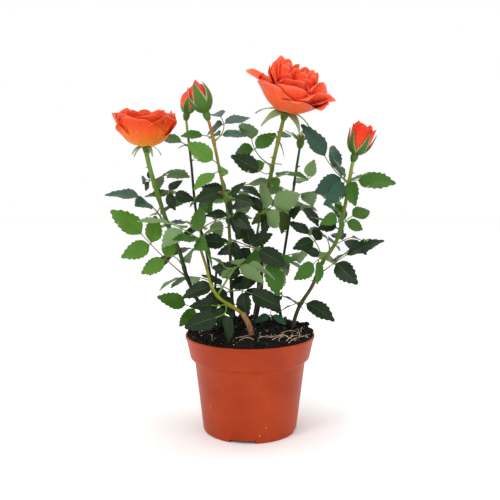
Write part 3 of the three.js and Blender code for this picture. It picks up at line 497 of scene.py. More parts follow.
# Shoots of leaves, cane by cane, as they leave it from the foot up: the height in mm, the stem's azimuth,
# rise and length, or None where a leaf's stalk leaves the cane itself, then for each leaf its azimuth,
# rise, bend, lift, stalk length, leaflets, leaflet size and roll
SHOOTS = {
    "cane_left": [
        (116, None, (-165, -15, 25, 45, 15, 3, 28, -110)),
        (142, None, (-165, 40, -5, 10, 58, 5, 36, -100)),
        (152, (125, 30, 8), (120, 25, 15, -25, 26, 3, 31, 0), (58, 40, -10, -20, 26, 3, 30, 0)),
        (193, (-175, 40, 8), (-165, 60, -5, -30, 28, 3, 31, -30), (102, 15, 15, 0, 18, 3, 25, 0)),
        (217, None, (-10, 45, -20, -65, 20, 3, 20, 50)),
        (229, (115, 25, 5), (150, 20, -20, -20, 9, 3, 14, -60), (65, 25, -10, -20, 22, 3, 27, 0)),
    ],
    "cane_bud_left": [
        (135, None, (155, 20, 10, -30, 32, 3, 30, 0)),
        (182, (95, 30, 8), (135, 25, 10, -25, 28, 5, 30, 0), (35, 30, -10, -20, 26, 3, 30, 0)),
        (212, (-80, 30, 6), (-145, 25, -20, -20, 20, 3, 27, -40), (-35, 30, 20, -30, 20, 3, 26, 40)),
        (263, (-130, 15, 5), (90, 0, 95, 30, 9, 3, 26, -60), (-150, -5, 10, -35, 9, 1, 38, -25)),
    ],
    "cane_front": [
        (124, (-130, 12, 5), (-130, -10, -15, 25, 14, 3, 22, -30), (-70, -25, -70, 20, 28, 3, 29, -50)),
        (180, (-80, 50, 5), (-150, 35, -45, -15, 28, 3, 31, 60), (-45, 30, 0, 85, 8, 3, 28, -10),
         (-60, -20, -90, 40, 12, 3, 29, -55)),
        (132, (24, 55, 30), (-20, 50, 0, -50, 18, 3, 29, -75), (180, 0, 0, 60, 9, 3, 17, 60)),
    ],
    "cane_bud_centre": [
        (130, (-90, 20, 7), (-40, 15, 15, -30, 22, 3, 28, 35), (-135, 0, 0, -35, 22, 3, 28, -20),
         (-135, 35, -15, -30, 22, 3, 28, -35)),
        (176, (-85, 35, 8), (-40, -10, 15, -10, 30, 5, 28, 40), (-70, -30, -75, 45, 16, 3, 25, -50)),
        (203, (-85, 30, 8), (-65, -30, -75, 15, 20, 3, 25, -45), (-90, 10, 35, -35, 20, 5, 23, 35)),
        (216, (95, 30, 8), (135, 15, 15, -20, 22, 3, 27, 0), (40, 30, -10, -20, 26, 3, 29, 0)),
        (229, (-85, 20, 8), (-85, -50, 25, 50, 36, 3, 20, 40), (-50, -40, -85, 35, 24, 3, 24, -45)),
        (242, (-94, 40, 6), (-110, 25, -60, 10, 8, 3, 30, -50), (-60, -50, -80, 40, 14, 1, 24, -20)),
        (266, None, (40, 30, 80, 10, 40, 5, 30, 20)),
        (269, None, (-170, 25, 10, -20, 9, 3, 20, -40)),
    ],
    "cane_bloom": [
        (135, (-90, 15, 5), (-115, -10, 60, -10, 16, 3, 26, 30), (-165, 45, -15, -30, 22, 3, 27, -50)),
        (166, (-75, 30, 6), (-95, -15, 45, -5, 36, 5, 27, 35), (-75, 0, 10, -45, 22, 3, 33, 25),
         (-180, 20, -15, -25, 22, 3, 29, -40)),
        (202, (-90, 30, 5), (-40, 30, 20, 0, 10, 5, 31, -80), (-130, -25, -15, 30, 11, 3, 25, -30)),
        (234, None, (-10, 5, -30, 15, 14, 5, 25, 30)),
        (243, (-125, 35, 6), (170, 30, -60, 35, 32, 5, 30, -60), (-70, -60, -85, 90, 30, 3, 27, -40),
         (-30, 15, 30, -30, 12, 1, 30, 30)),
        (268, (110, 30, 7), (180, -20, -50, 65, 9, 3, 27, -50), (90, -20, -35, 45, 12, 3, 23, 10)),
    ],
    "cane_spent": [
        (122, (-60, 20, 7), (-90, -10, 35, 10, 18, 3, 27, 30), (-130, -20, 50, -10, 44, 3, 20, 20)),
        (155, (70, 25, 8), (35, 15, -15, -20, 28, 3, 31, 0), (115, 20, 10, -25, 26, 3, 30, 0)),
        (200, (-90, 15, 6), (-20, 60, -25, -80, 20, 5, 24, 40), (-135, 20, -15, -25, 20, 3, 27, -35)),
        (212, (75, 30, 8), (35, 20, -15, -20, 28, 3, 31, 0), (110, 30, 10, -20, 24, 3, 29, 0)),
        (230, None, (0, -10, 65, 50, 20, 3, 20, 160)),
    ],
    "cane_right": [
        (120, None, (-100, 20, 70, -35, 9, 3, 29, 50)),
        (144, None, (-15, 40, -5, -5, 34, 3, 35, 50)),
        (158, (-120, 50, 5), (150, 80, 10, -40, 26, 5, 24, -40), (-120, 5, -5, -30, 16, 3, 24, -30)),
        (166, (75, 30, 7), (40, 30, -15, -20, 28, 3, 30, 0), (90, 35, 10, -20, 26, 3, 30, 0)),
        (194, (-130, 20, 5), (-90, 0, -50, -10, 9, 3, 20, -40), (-60, 60, -70, -80, 24, 3, 20, -30)),
        (183, (60, 50, 6), (30, 65, -10, -40, 18, 3, 23, 30), (140, 25, 10, -20, 22, 3, 28, 0)),
        (229, (-150, 38, 7), (-165, 35, -10, 25, 28, 5, 37, -45), (-90, 10, -20, -50, 10, 3, 29, -30)),
        (231, None, (-50, 15, 20, -15, 9, 3, 34, 60)),
    ],
    "cane_back": [
        (150, (50, 25, 7), (5, 5, -15, -20, 28, 3, 30, 20), (50, -10, 10, -25, 28, 5, 31, 20)),
        (202, (90, 60, 5), (155, 30, 15, -25, 26, 3, 30, 0), (110, 30, 0, -30, 28, 5, 30, 0),
         (5, 15, -15, -25, 26, 3, 30, 0)),
    ],
}

# The bark of living canes and of the stump: steps along and sides around, lengthwise ridges and rough spots
# as shares of the radius, how matt it is, how dark its streaks are and how deep they are split
BARK = {
    "cane": {"steps": 110, "sides": 16, "ridge": 0.022, "rough": 0.02, "matt": 0.46, "dark": 0.82,
             "split": 0.3},
    "stump": {"steps": 60, "sides": 30, "ridge": 0.075, "rough": 0.06, "matt": 0.82, "dark": 0.62,
              "split": 0.8},
}
# The foot swells by this share of its radius and fades at this rate along the cane; a joint swells by so
# many mm, over so many mm along the cane, just under where its shoot leaves
FOOT_SWELL, FOOT_FADE = 0.25, 14
JOINT_SWELL, JOINT_REACH = 0.42, 2.0
# How far clouds in the bark shift its colour by height, as a share of the cane's height
MOTTLING = 0.34
# A flat cut end meets the cane's side at more than this angle, in degrees, and so in a crisp edge
CUT_ANGLE = 60

for name, cane in CANES.items():
    woody = name == "stump"
    kind = BARK["stump" if woody else "cane"]
    path = even_path(cane, kind["steps"])
    t = np.linspace(0, 1, kind["steps"])
    foot_radius, tip_radius = cane["radius"]
    radius = foot_radius + (tip_radius - foot_radius) * t + foot_radius * FOOT_SWELL * np.exp(-FOOT_FADE * t)
    for shoot in SHOOTS.get(name, []):
        radius += JOINT_SWELL * np.exp(-(((path[:, 2] - shoot[0] + 1) / JOINT_REACH) ** 2))
    level, angle = path[:, 2:3], np.arange(kind["sides"]) * 2 * np.pi / kind["sides"]
    ridge = np.sin(5 * angle + 0.08 * level) + 0.6 * np.sin(9 * angle - 0.13 * level + 1.3)
    rough = noise(angle * 3 + 0 * level, level + 0 * angle, 1.6, 5)
    relief = 1 + kind["ridge"] * ridge + kind["rough"] * rough
    points, faces = tubes(path[None], radius, kind["sides"], relief)
    # Rose bark: a smooth waxy skin, green where it is young, dark and dull where it has turned woody
    # toward the soil, that darkness partly painted shade, with pale lengthwise streaks; the stump's is dry,
    # tan and split
    bark, tree, shader = finish(name + "_bark", Roughness=kind["matt"], IOR=1.45, Specular_IOR_Level=0.28)
    place = add(tree, "TexCoord").outputs["Object"]
    height = add(tree, "SeparateXYZ", inputs={"Vector": place}).outputs["Z"]
    low, high = path[0, 2] * MM, path[-1, 2] * MM
    stretched = add(tree, "Mapping", inputs={"Vector": place, "Scale": (1.0, 1.0, 0.16)})
    streaks = add(tree, "TexNoise", inputs={"Vector": stretched, "Scale": 900.0, "Detail": 4.0})
    mottle = add(tree, "TexNoise", inputs={"Vector": place, "Scale": 95.0, "Detail": 3.0})
    share = add(tree, "MapRange", inputs={"Value": height, "From Min": low, "From Max": high})
    shifted = add(tree, "Math", {"operation": "MULTIPLY_ADD"}, {0: mottle, 1: MOTTLING, 2: share})
    centred = add(tree, "Math", {"operation": "SUBTRACT"}, {0: shifted, 1: MOTTLING / 2})
    tones = add(tree, "ValToRGB", {"stops": cane["tones"]}, {"Fac": centred})
    shade = add(tree, "MapRange", inputs={"Value": streaks, "From Min": 0.35, "From Max": 0.7,
                                          "To Min": kind["dark"], "To Max": 1.2})
    streaked = add(tree, "VectorMath", {"operation": "SCALE"}, {0: tones, "Scale": shade})
    split = add(tree, "Bump", inputs={"Strength": kind["split"], "Distance": 0.0004, "Height": streaks})
    drive(shader, Base_Color=streaked, Normal=split)
    limb = piece(name + "_bark", points, faces, [bark], crease=CUT_ANGLE)
    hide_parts(name)


# Prickles
# The short hooked prickles of a rose, dry and red-brown, few on this kind. They grow out of the cane's
# skin, so each foot is sunk in it.

# Height in mm and azimuth in degrees of each prickle
PRICKLES = {
    "cane_left": [(243, 200), (226, 10), (205, 250), (172, 160), (130, -60)],
    "cane_bud_left": [(250, 20), (196, 180), (150, -90)],
    "cane_bud_centre": [(236, 10), (190, 190), (150, -40)],
    "cane_bloom": [(252, 190), (220, -20), (185, 200), (148, 30)],
    "cane_spent": [(244, 0), (182, 200), (140, -60)],
    "cane_right": [(238, 10), (218, 190), (188, -20), (140, 200)],
    "cane_front": [(150, 200)],
    "cane_back": [(160, 90), (190, 0)],
}
# Along a prickle from the cane's middle line, in mm: its start, where it begins to hook down, its tip and
# where its sides would meet; its rise in degrees; its drop at the tip and its radius at the foot, in mm
PRICKLE = {"start": 0.8, "bend": 2, "tip": 4.6, "meet": 4.7, "rise": 12, "drop": 0.9, "radius": 1.05}


def direction(azimuth, rise):
    """Unit vector toward an azimuth (0 right, 90 back, 180 left) and a rise above level, in degrees."""
    a, r = np.radians(azimuth), np.radians(rise)
    return np.stack([np.cos(a) * np.cos(r), np.sin(a) * np.cos(r), np.sin(r) + 0 * a], -1)


spots = np.array([(*cane_at(CANES[name], height), azimuth)
                  for name, rows in PRICKLES.items() for height, azimuth in rows])
roots, heading = spots[:, :3], direction(spots[:, 3], PRICKLE["rise"])
along = np.linspace(PRICKLE["start"], PRICKLE["tip"], 9)
bent = np.clip((along - PRICKLE["bend"]) / (PRICKLE["tip"] - PRICKLE["bend"]), 0, 1)
hook = np.array([0, 0, -PRICKLE["drop"]]) * bent[:, None] ** 2
prickle_paths = roots[:, None] + heading[:, None] * along[:, None] + hook
slim = (PRICKLE["meet"] - along) / (PRICKLE["meet"] - PRICKLE["start"])
prickle_radii = PRICKLE["radius"] * slim**1.4 + 0.02
# Prickle horn: dry, hard and a little glossy
horn = finish("red_brown_prickle", Base_Color=linear("#6a3a1e"), Roughness=0.45)[0]
prickle_points, prickle_faces = tubes(prickle_paths, prickle_radii, 7)
prickles = piece("prickles", prickle_points, prickle_faces, [horn])


# Leaf stalks
# Each leaf has a thin stalk, green or flushed red-brown, that leaves its cane or a short shoot stem and
# carries an end leaflet and pairs at its sides. It grows out of the stem, so its foot starts inside it.

# A shoot's stem: radius in mm, swelling toward its end as a share, and where along it, as a share, its
# stalks fork off. A stalk: radius at foot and tip and the foot's swelling in mm, how fast that fades, and how
# slim it is against all of these. The small joint under a blade: radius, run from inside the stalk, and where
# the blade starts, in mm.
STALK = {
    "stem": 0.9, "stem_swell": 0.25, "fork": 0.85, "foot": 0.65, "tip": 0.42, "foot_swell": 0.5,
    "foot_fade": 9, "slim": 0.9, "joint_radius": 0.5, "joint_run": (-0.6, 1.6), "joint": 0.8,
}
# Leaflets on a stalk: the lowest place as a share of its length, how far each pair sits before its end as a
# share of the end leaflet's size, each pair's size as a share of that, spread and droop in degrees, how far
# blades face outward against up, and how far leaflets differ, in degrees and for the size as a share
LEAF = {
    "lowest": 0.14, "pairs": (0.32, 0.86), "pair_size": (0.86, 0.7), "spread": 66, "droop": 14,
    "outward": 0.7, "vary": {"roll": 8, "spread": 8, "droop": 12, "size": 0.08},
}
# A blade's width and curl as shares of its length, and its fold's rise over the distance from its midrib
BLADE = {"width": 0.6, "fold": 0.28, "curl": 0.14}


def wobble(seed):
    """Small steady differences from -1 to 1: twice the fraction of a large multiple of a sine, less one."""
    value = np.sin(seed * 12.9898) * 43758.5453
    return (value - np.floor(value)) * 2 - 1


def turned_about(vector, axis, degrees):
    """The vector turned about a unit axis by the right-hand rule."""
    a = np.radians(degrees)
    return (vector * np.cos(a) + np.cross(axis, vector) * np.sin(a)
            + axis * np.dot(axis, vector) * (1 - np.cos(a)))


def stalk_point(stalk, t):
    """A stalk is a quadratic curve through its start, its elbow and its end."""
    start, elbow, end = stalk
    t = np.asarray(t, float)[..., None]
    return start * (1 - t) ** 2 + elbow * 2 * t * (1 - t) + end * t**2


def stalk_frame(stalk, t, roll):
    """The stalk's point and direction, and the facing of its blades: up and out from the middle of the
    bush, square to the stalk, then rolled about it. The left is their cross product."""
    start, elbow, end = stalk
    point = stalk_point(stalk, t)
    along = (elbow - start) * (1 - t) + (end - elbow) * t
    along /= np.linalg.norm(along)
    outward = np.array([point[0], point[1], 0]) / np.hypot(point[0], point[1])
    normal = np.array([0, 0, 1]) + LEAF["outward"] * outward
    normal -= along * np.dot(normal, along)
    normal = turned_about(normal / np.linalg.norm(normal), along, roll)
    return point, along, normal, np.cross(normal, along)


def leaflet_places(stalk, leaflets, size, roll, seed):
    """The leaflets of one leaf as foot, axes and length: one at the stalk's end and pairs to its right and
    left along it, each turned out by the spread, drooped about its own left and a little different from the
    others by four steady draws, 40 seeds apart."""
    vary = LEAF["vary"]
    run = stalk_point(stalk, np.linspace(0, 1, 201))
    stalk_length = np.linalg.norm(np.diff(run, axis=0), axis=1).sum()

    def put(t, side, length, salt):
        more_roll, more_droop, more_size, more_spread = wobble(seed + salt + 40 * np.arange(4))
        point, along, normal, left = stalk_frame(stalk, t, roll + vary["roll"] * more_roll)
        point = point + left * side * STALK["foot"]
        along = turned_about(along, normal, side * (LEAF["spread"] + vary["spread"] * more_spread))
        across = np.cross(normal, along)
        droop = LEAF["droop"] + vary["droop"] * more_droop
        along, normal = turned_about(along, across, droop), turned_about(normal, across, droop)
        return point, np.stack([along, across, normal]), length * (1 + vary["size"] * more_size)

    places = [put(1.0, 0, size, 0)]
    for pair in range((leaflets - 1) // 2):
        t = max(LEAF["lowest"], 1 - LEAF["pairs"][pair] * size / stalk_length)
        places.append(put(t, -1, size * LEAF["pair_size"][pair], 1 + pair * 2))
        places.append(put(t, 1, size * LEAF["pair_size"][pair], 2 + pair * 2))
    return places


def solid_points(node):
    """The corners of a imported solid, in mm."""
    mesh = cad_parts[node].data
    corners = np.empty(len(mesh.vertices) * 3, np.float32)
    mesh.vertices.foreach_get("co", corners)
    return corners.reshape(-1, 3) / MM


# One letter for each leaf's colour, in the order of SHOOTS: d dark, partly painted shade; g green;
# b blue-green, partly a painted reflection of the sky; l light, partly painted light shining through;
# o olive; p pale; and a capital where the stalk is red-brown
TINTS = {
    "cane_left": ["G", "L", "dg", "Bd", "D", "dD"],
    "cane_bud_left": ["g", "dD", "gG", "go"],
    "cane_front": ["dd", "pgG", "gp"],
    "cane_bud_centre": ["dDd", "Dd", "dd", "Bd", "dD", "ll", "b", "g"],
    "cane_bloom": ["dD", "ggd", "pd", "g", "gdd", "og"],
    "cane_spent": ["db", "dg", "Do", "dD", "p"],
    "cane_right": ["d", "D", "dg", "dd", "dg", "gG", "bb", "g"],
    "cane_back": ["dg", "Dbd"],
}
# A leaflet is kept where its shoot's solid has a corner within this distance of its tip, in mm
TIP_MATCH = 0.2

shoot_seed = 1
foliage = {}
for name, shoots in SHOOTS.items():
    stems, stalks, leaflets = [], [], []
    for number, ((height, stem, *leaves), tints) in enumerate(zip(shoots, TINTS[name]), 1):
        start = cane_at(CANES[name], height)
        if stem:
            azimuth, rise, length = stem
            end = start + direction(azimuth, rise) * length
            stems.append((start, end))
            start = start + (end - start) * STALK["fork"]
        corners = solid_points(f"{name.replace('cane', 'leaves')}_{number}")
        for i, (azimuth, rise, bend, lift, length, count, size, roll) in enumerate(leaves):
            elbow = start + direction(azimuth, rise) * length / 2
            stalk = (start, elbow, elbow + direction(azimuth + bend, rise + lift) * length / 2)
            stalks.append((stalk, tints[i]))
            for point, basis, reach in leaflet_places(stalk, count, size, roll, shoot_seed + 7 * i):
                tip = point + basis[0] * reach - basis[2] * BLADE["curl"] * reach
                if np.linalg.norm(corners - tip, axis=1).min() < TIP_MATCH:
                    leaflets.append((point, basis, reach, tints[i]))
        shoot_seed += 30
    foliage[name] = (stems, stalks, leaflets)


def bundled(sets):
    """Several sets of tubes in one mesh: its points, blocks of faces and each face's material. A set is its
    paths, radii and sides, and the material of each path or of all."""
    points, faces, slots = np.empty((0, 3)), [], []
    for paths, radii, sides, looks in sets:
        more, blocks = tubes(paths, radii, sides)
        faces += [block + len(points) for block in blocks]
        looks = np.broadcast_to(looks, len(paths))
        slots += [np.repeat(looks, len(block) // len(paths)) for block in blocks]
        points = np.vstack([points, more])
    return points, faces, np.concatenate(slots)


# Stalk skin: thin, waxy and slightly glossy; green, or flushed red-brown by the light
green_stalk = finish("green_leaf_stalk", Base_Color=linear("#64802f"), Roughness=0.5)[0]
red_stalk = finish("red_brown_leaf_stalk", Base_Color=linear("#6b4326"), Roughness=0.5)[0]
for name, (stems, stalks, leaflets) in foliage.items():
    t = np.linspace(0, 1, 18)
    runs = np.array([stalk_point(stalk, t) for stalk, tint in stalks])
    girth = STALK["foot"] + (STALK["tip"] - STALK["foot"]) * t
    girth += STALK["foot_swell"] * np.exp(-t * STALK["foot_fade"])
    red = [int(tint.isupper()) for stalk, tint in stalks]
    sets = [(runs, girth * STALK["slim"], 8, red)]
    if stems:
        ends = np.array(stems)
        t = np.linspace(0, 1, 10)
        lines = ends[:, :1] + (ends[:, 1:] - ends[:, :1]) * t[:, None]
        sets.append((lines, STALK["stem"] * (1 + STALK["stem_swell"] * t**4), 10, 0))
    feet, heading = np.array([(point, basis[0]) for point, basis, *_ in leaflets]).swapaxes(0, 1)
    joints = feet[:, None] + heading[:, None] * np.linspace(*STALK["joint_run"], 5)[:, None]
    sets.append((joints, STALK["joint_radius"], 6, 0))
    points, faces, slots = bundled(sets)
    stalk_piece = piece(name.replace("cane", "stalks"), points, faces, [green_stalk, red_stalk], slots)


# Leaflets
# The oval toothed blades of the rose's leaves: thin, waxy and folded a little along a pale midrib, dark
# green above and grey-green below. Each blade grows from its stalk at its base.

# Teeth along each rim; how far a tooth leans forward, as a share of the step between two rim points, and how
# far its tip and the notch beside it lie out, as shares of the half width
TEETH = 7
TOOTH = {"forward": 0.55, "tip": 1.09, "notch": 0.96}
# Places of a blade's points across it as shares of the half width, from rim to rim past the two sides of
# the midrib, and its thickness in mm
BLADE_COLUMNS = np.array([-1, -0.52, -0.024, 0.024, 0.52, 1])
BLADE_THICKNESS = 0.34
# Two faces that meet at a larger angle than this, in degrees, are a thin sheet's rim, and its two sides
# aren't shaded into each other
RIM_ANGLE = 75


def skins(grid, thickness, inner=None):
    """Closed thin sheets from grids of points: two skins half the thickness to either side of the grid,
    along the cross product of its two slopes, that meet in its rim. The back skin may keep only some inner
    columns, and then small faces close it against the first and last row. Returns points, blocks of faces,
    which faces of the first block are the back skin, and each point's column and row as fractions."""
    count, rows, columns = grid.shape[:3]
    inner = np.arange(1, columns - 1) if inner is None else np.array(inner)
    normal = np.cross(np.gradient(grid, axis=1), np.gradient(grid, axis=2))
    normal /= np.linalg.norm(normal, axis=-1, keepdims=True) + 1e-12
    front, back = grid.copy(), (grid - normal * thickness / 2)[:, 1:-1, inner]
    front[:, 1:-1, 1:-1] += normal[:, 1:-1, 1:-1] * thickness / 2
    points = np.concatenate([front.reshape(count, -1, 3), back.reshape(count, -1, 3)], axis=1)
    over = np.arange(rows * columns).reshape(rows, columns)
    kept = [0, *inner, columns - 1]
    under = over[:, kept]
    under[1:-1, 1:-1] = rows * columns + np.arange((rows - 2) * len(inner)).reshape(rows - 2, -1)

    def cells(n):
        return np.stack([n[:-1, :-1], n[1:, :-1], n[1:, 1:], n[:-1, 1:]], -1).reshape(-1, 4)

    sheet = np.concatenate([cells(over), cells(under)[:, ::-1]])
    shells = points.shape[1] * np.arange(count)[:, None, None]
    blocks = [(sheet + shells).reshape(-1, 4)]
    for a, b in zip(kept, kept[1:]):
        if b > a + 1:
            ends = np.stack([over[0, a : b + 1], over[-1, a : b + 1][::-1]])
            blocks.append((ends + shells).reshape(-1, b + 1 - a))
    is_back = np.tile(np.arange(len(sheet)) >= (rows - 1) * (columns - 1), count)
    v, u = np.meshgrid(np.linspace(0, 1, columns), np.linspace(0, 1, rows))
    place = np.stack([v, u], -1)
    place = np.concatenate([place.reshape(-1, 2), place[1:-1, inner].reshape(-1, 2)])
    return points.reshape(-1, 3), blocks, is_back, np.tile(place, (count, 1))


def blades(leaflets):
    """Toothed folded blades. At a share u of its length a blade is 1.3 sqrt(1 - (1 - u)^2.4) (1 - u^2.1)
    times its full width, and every second rim point stands out and forward as a tooth. The height is the
    fold times the distance from the midrib, less the curl times u squared, with slow ripples at the rims."""
    u = np.linspace(0, 1, 2 * TEETH + 1)
    width = 1.3 * np.sqrt(1 - (1 - u) ** 2.4) * (1 - u**2.1)
    width[0], width[-1] = 0.05, 0.015
    v = BLADE_COLUMNS[None, :]
    tooth = (np.arange(len(u)) % 2 == 1)[:, None] & (np.abs(v) == 1)
    along = u[:, None] + np.where(tooth, TOOTH["forward"] / (2 * TEETH), 0)
    rim = np.where(tooth, TOOTH["tip"], np.where(np.abs(v) == 1, TOOTH["notch"], 1))
    across = v * width[:, None] * rim
    origin, basis, reach = [np.array(column) for column in list(zip(*leaflets))[:3]]
    reach = reach[:, None, None]
    number = np.arange(len(leaflets))[:, None, None]
    half = reach * BLADE["width"] / 2
    x = STALK["joint"] * (1 - along) + reach * np.minimum(along, 1)
    y = half * across
    fold = BLADE["fold"] * (1 + 0.4 * wobble(number + 0.3))
    ripple = np.sin(2 * np.pi * (1.6 * along + wobble(number) + 0.25 * np.sign(across))) * np.abs(across) ** 2
    z = fold * np.abs(y) * (1 - 0.25 * np.abs(across))
    z = z - BLADE["curl"] * reach * along**2 + 0.03 * reach * ripple
    side_bend = 0.05 * reach * wobble(number + 0.7) * along**2
    local = np.stack([x + 0 * y, y + side_bend, z], -1)
    return origin[:, None, None] + np.einsum("nrci,nij->nrcj", local, basis)


# Rose leaf skins: a waxy cuticle over soft tissue, so a low wide highlight above and a matt paler underside.
# The side veins, too fine to model, are a shallow bump that runs forward from the midrib.
LEAF_TONES = {
    # Dark leaf: its own dark green, and partly painted shade of the bush's shaded inside
    "d": ("dark_leaf_and_painted_shade", "#112708", 0.42),
    "g": ("green_leaf", "#366013", 0.45),
    # Blue-green leaf: partly its own tint, partly a painted reflection of the sky
    "b": ("blue_green_leaf", "#2a4e3b", 0.38),
    # Light leaf: partly its own young green, partly painted light shining through the blade
    "l": ("light_leaf_and_painted_glow", "#4f7d24", 0.45),
    "o": ("olive_leaf", "#3c4c12", 0.45),
    "p": ("pale_leaf", "#6b8754", 0.5),
}
leaf_skins = {}
for letter, (name, colour, roughness) in LEAF_TONES.items():
    leaf_skins[letter] = finish(name, Base_Color=linear(colour), Roughness=roughness, IOR=1.45,
                                Specular_IOR_Level=0.27)
underside = finish("leaf_underside", Base_Color=linear("#728f58"), Roughness=0.62, IOR=1.4)
midrib = finish("leaf_midrib", Base_Color=linear("#3a5c24"), Roughness=0.5)[0]
for tree, shader in [skin[1:] for skin in (*leaf_skins.values(), underside)]:
    spot = add(tree, "SeparateXYZ", inputs={"Vector": add(tree, "UVMap")})
    off = add(tree, "Math", {"operation": "SUBTRACT"}, {0: spot, 1: 0.5})
    spread = add(tree, "Math", {"operation": "ABSOLUTE"}, {0: off})
    swept = add(tree, "Math", {"operation": "MULTIPLY_ADD"}, {0: spread, 1: -0.45, 2: spot.outputs["Y"]})
    wave = add(tree, "Math", {"operation": "MULTIPLY"}, {0: swept, 1: 56.0})
    veins = add(tree, "Math", {"operation": "SINE"}, {0: wave})
    ridges = add(tree, "Bump", inputs={"Strength": 0.16, "Distance": 0.0005, "Height": veins})
    drive(shader, Normal=ridges)

letters = list(leaf_skins)
skin_slots = [skin[0] for skin in leaf_skins.values()] + [underside[0], midrib]
for name, (*_, leaflets) in foliage.items():
    points, blocks, is_back, uv = skins(blades(leaflets), BLADE_THICKNESS, inner=[2])
    per_leaf = len(is_back) // len(leaflets)
    colour = np.array([letters.index(leaflet[3].lower()) for leaflet in leaflets])
    slot = np.repeat(colour, per_leaf)
    slot[is_back] = len(letters)
    bands = len(BLADE_COLUMNS) - 1
    along_rib = np.arange(len(is_back)) % per_leaf % bands == bands // 2
    slot[along_rib & ~is_back] = len(letters) + 1
    slot = np.concatenate([slot, *[np.repeat(colour, 2) for block in blocks[1:]]])
    leaf_piece = piece(name.replace("cane", "leaflets"), points, blocks, skin_slots, slot, uv, RIM_ANGLE)
    short = name.replace("cane_", "")
    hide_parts(*[f"leaves_{short}_{number + 1}" for number in range(len(SHOOTS[name]))])
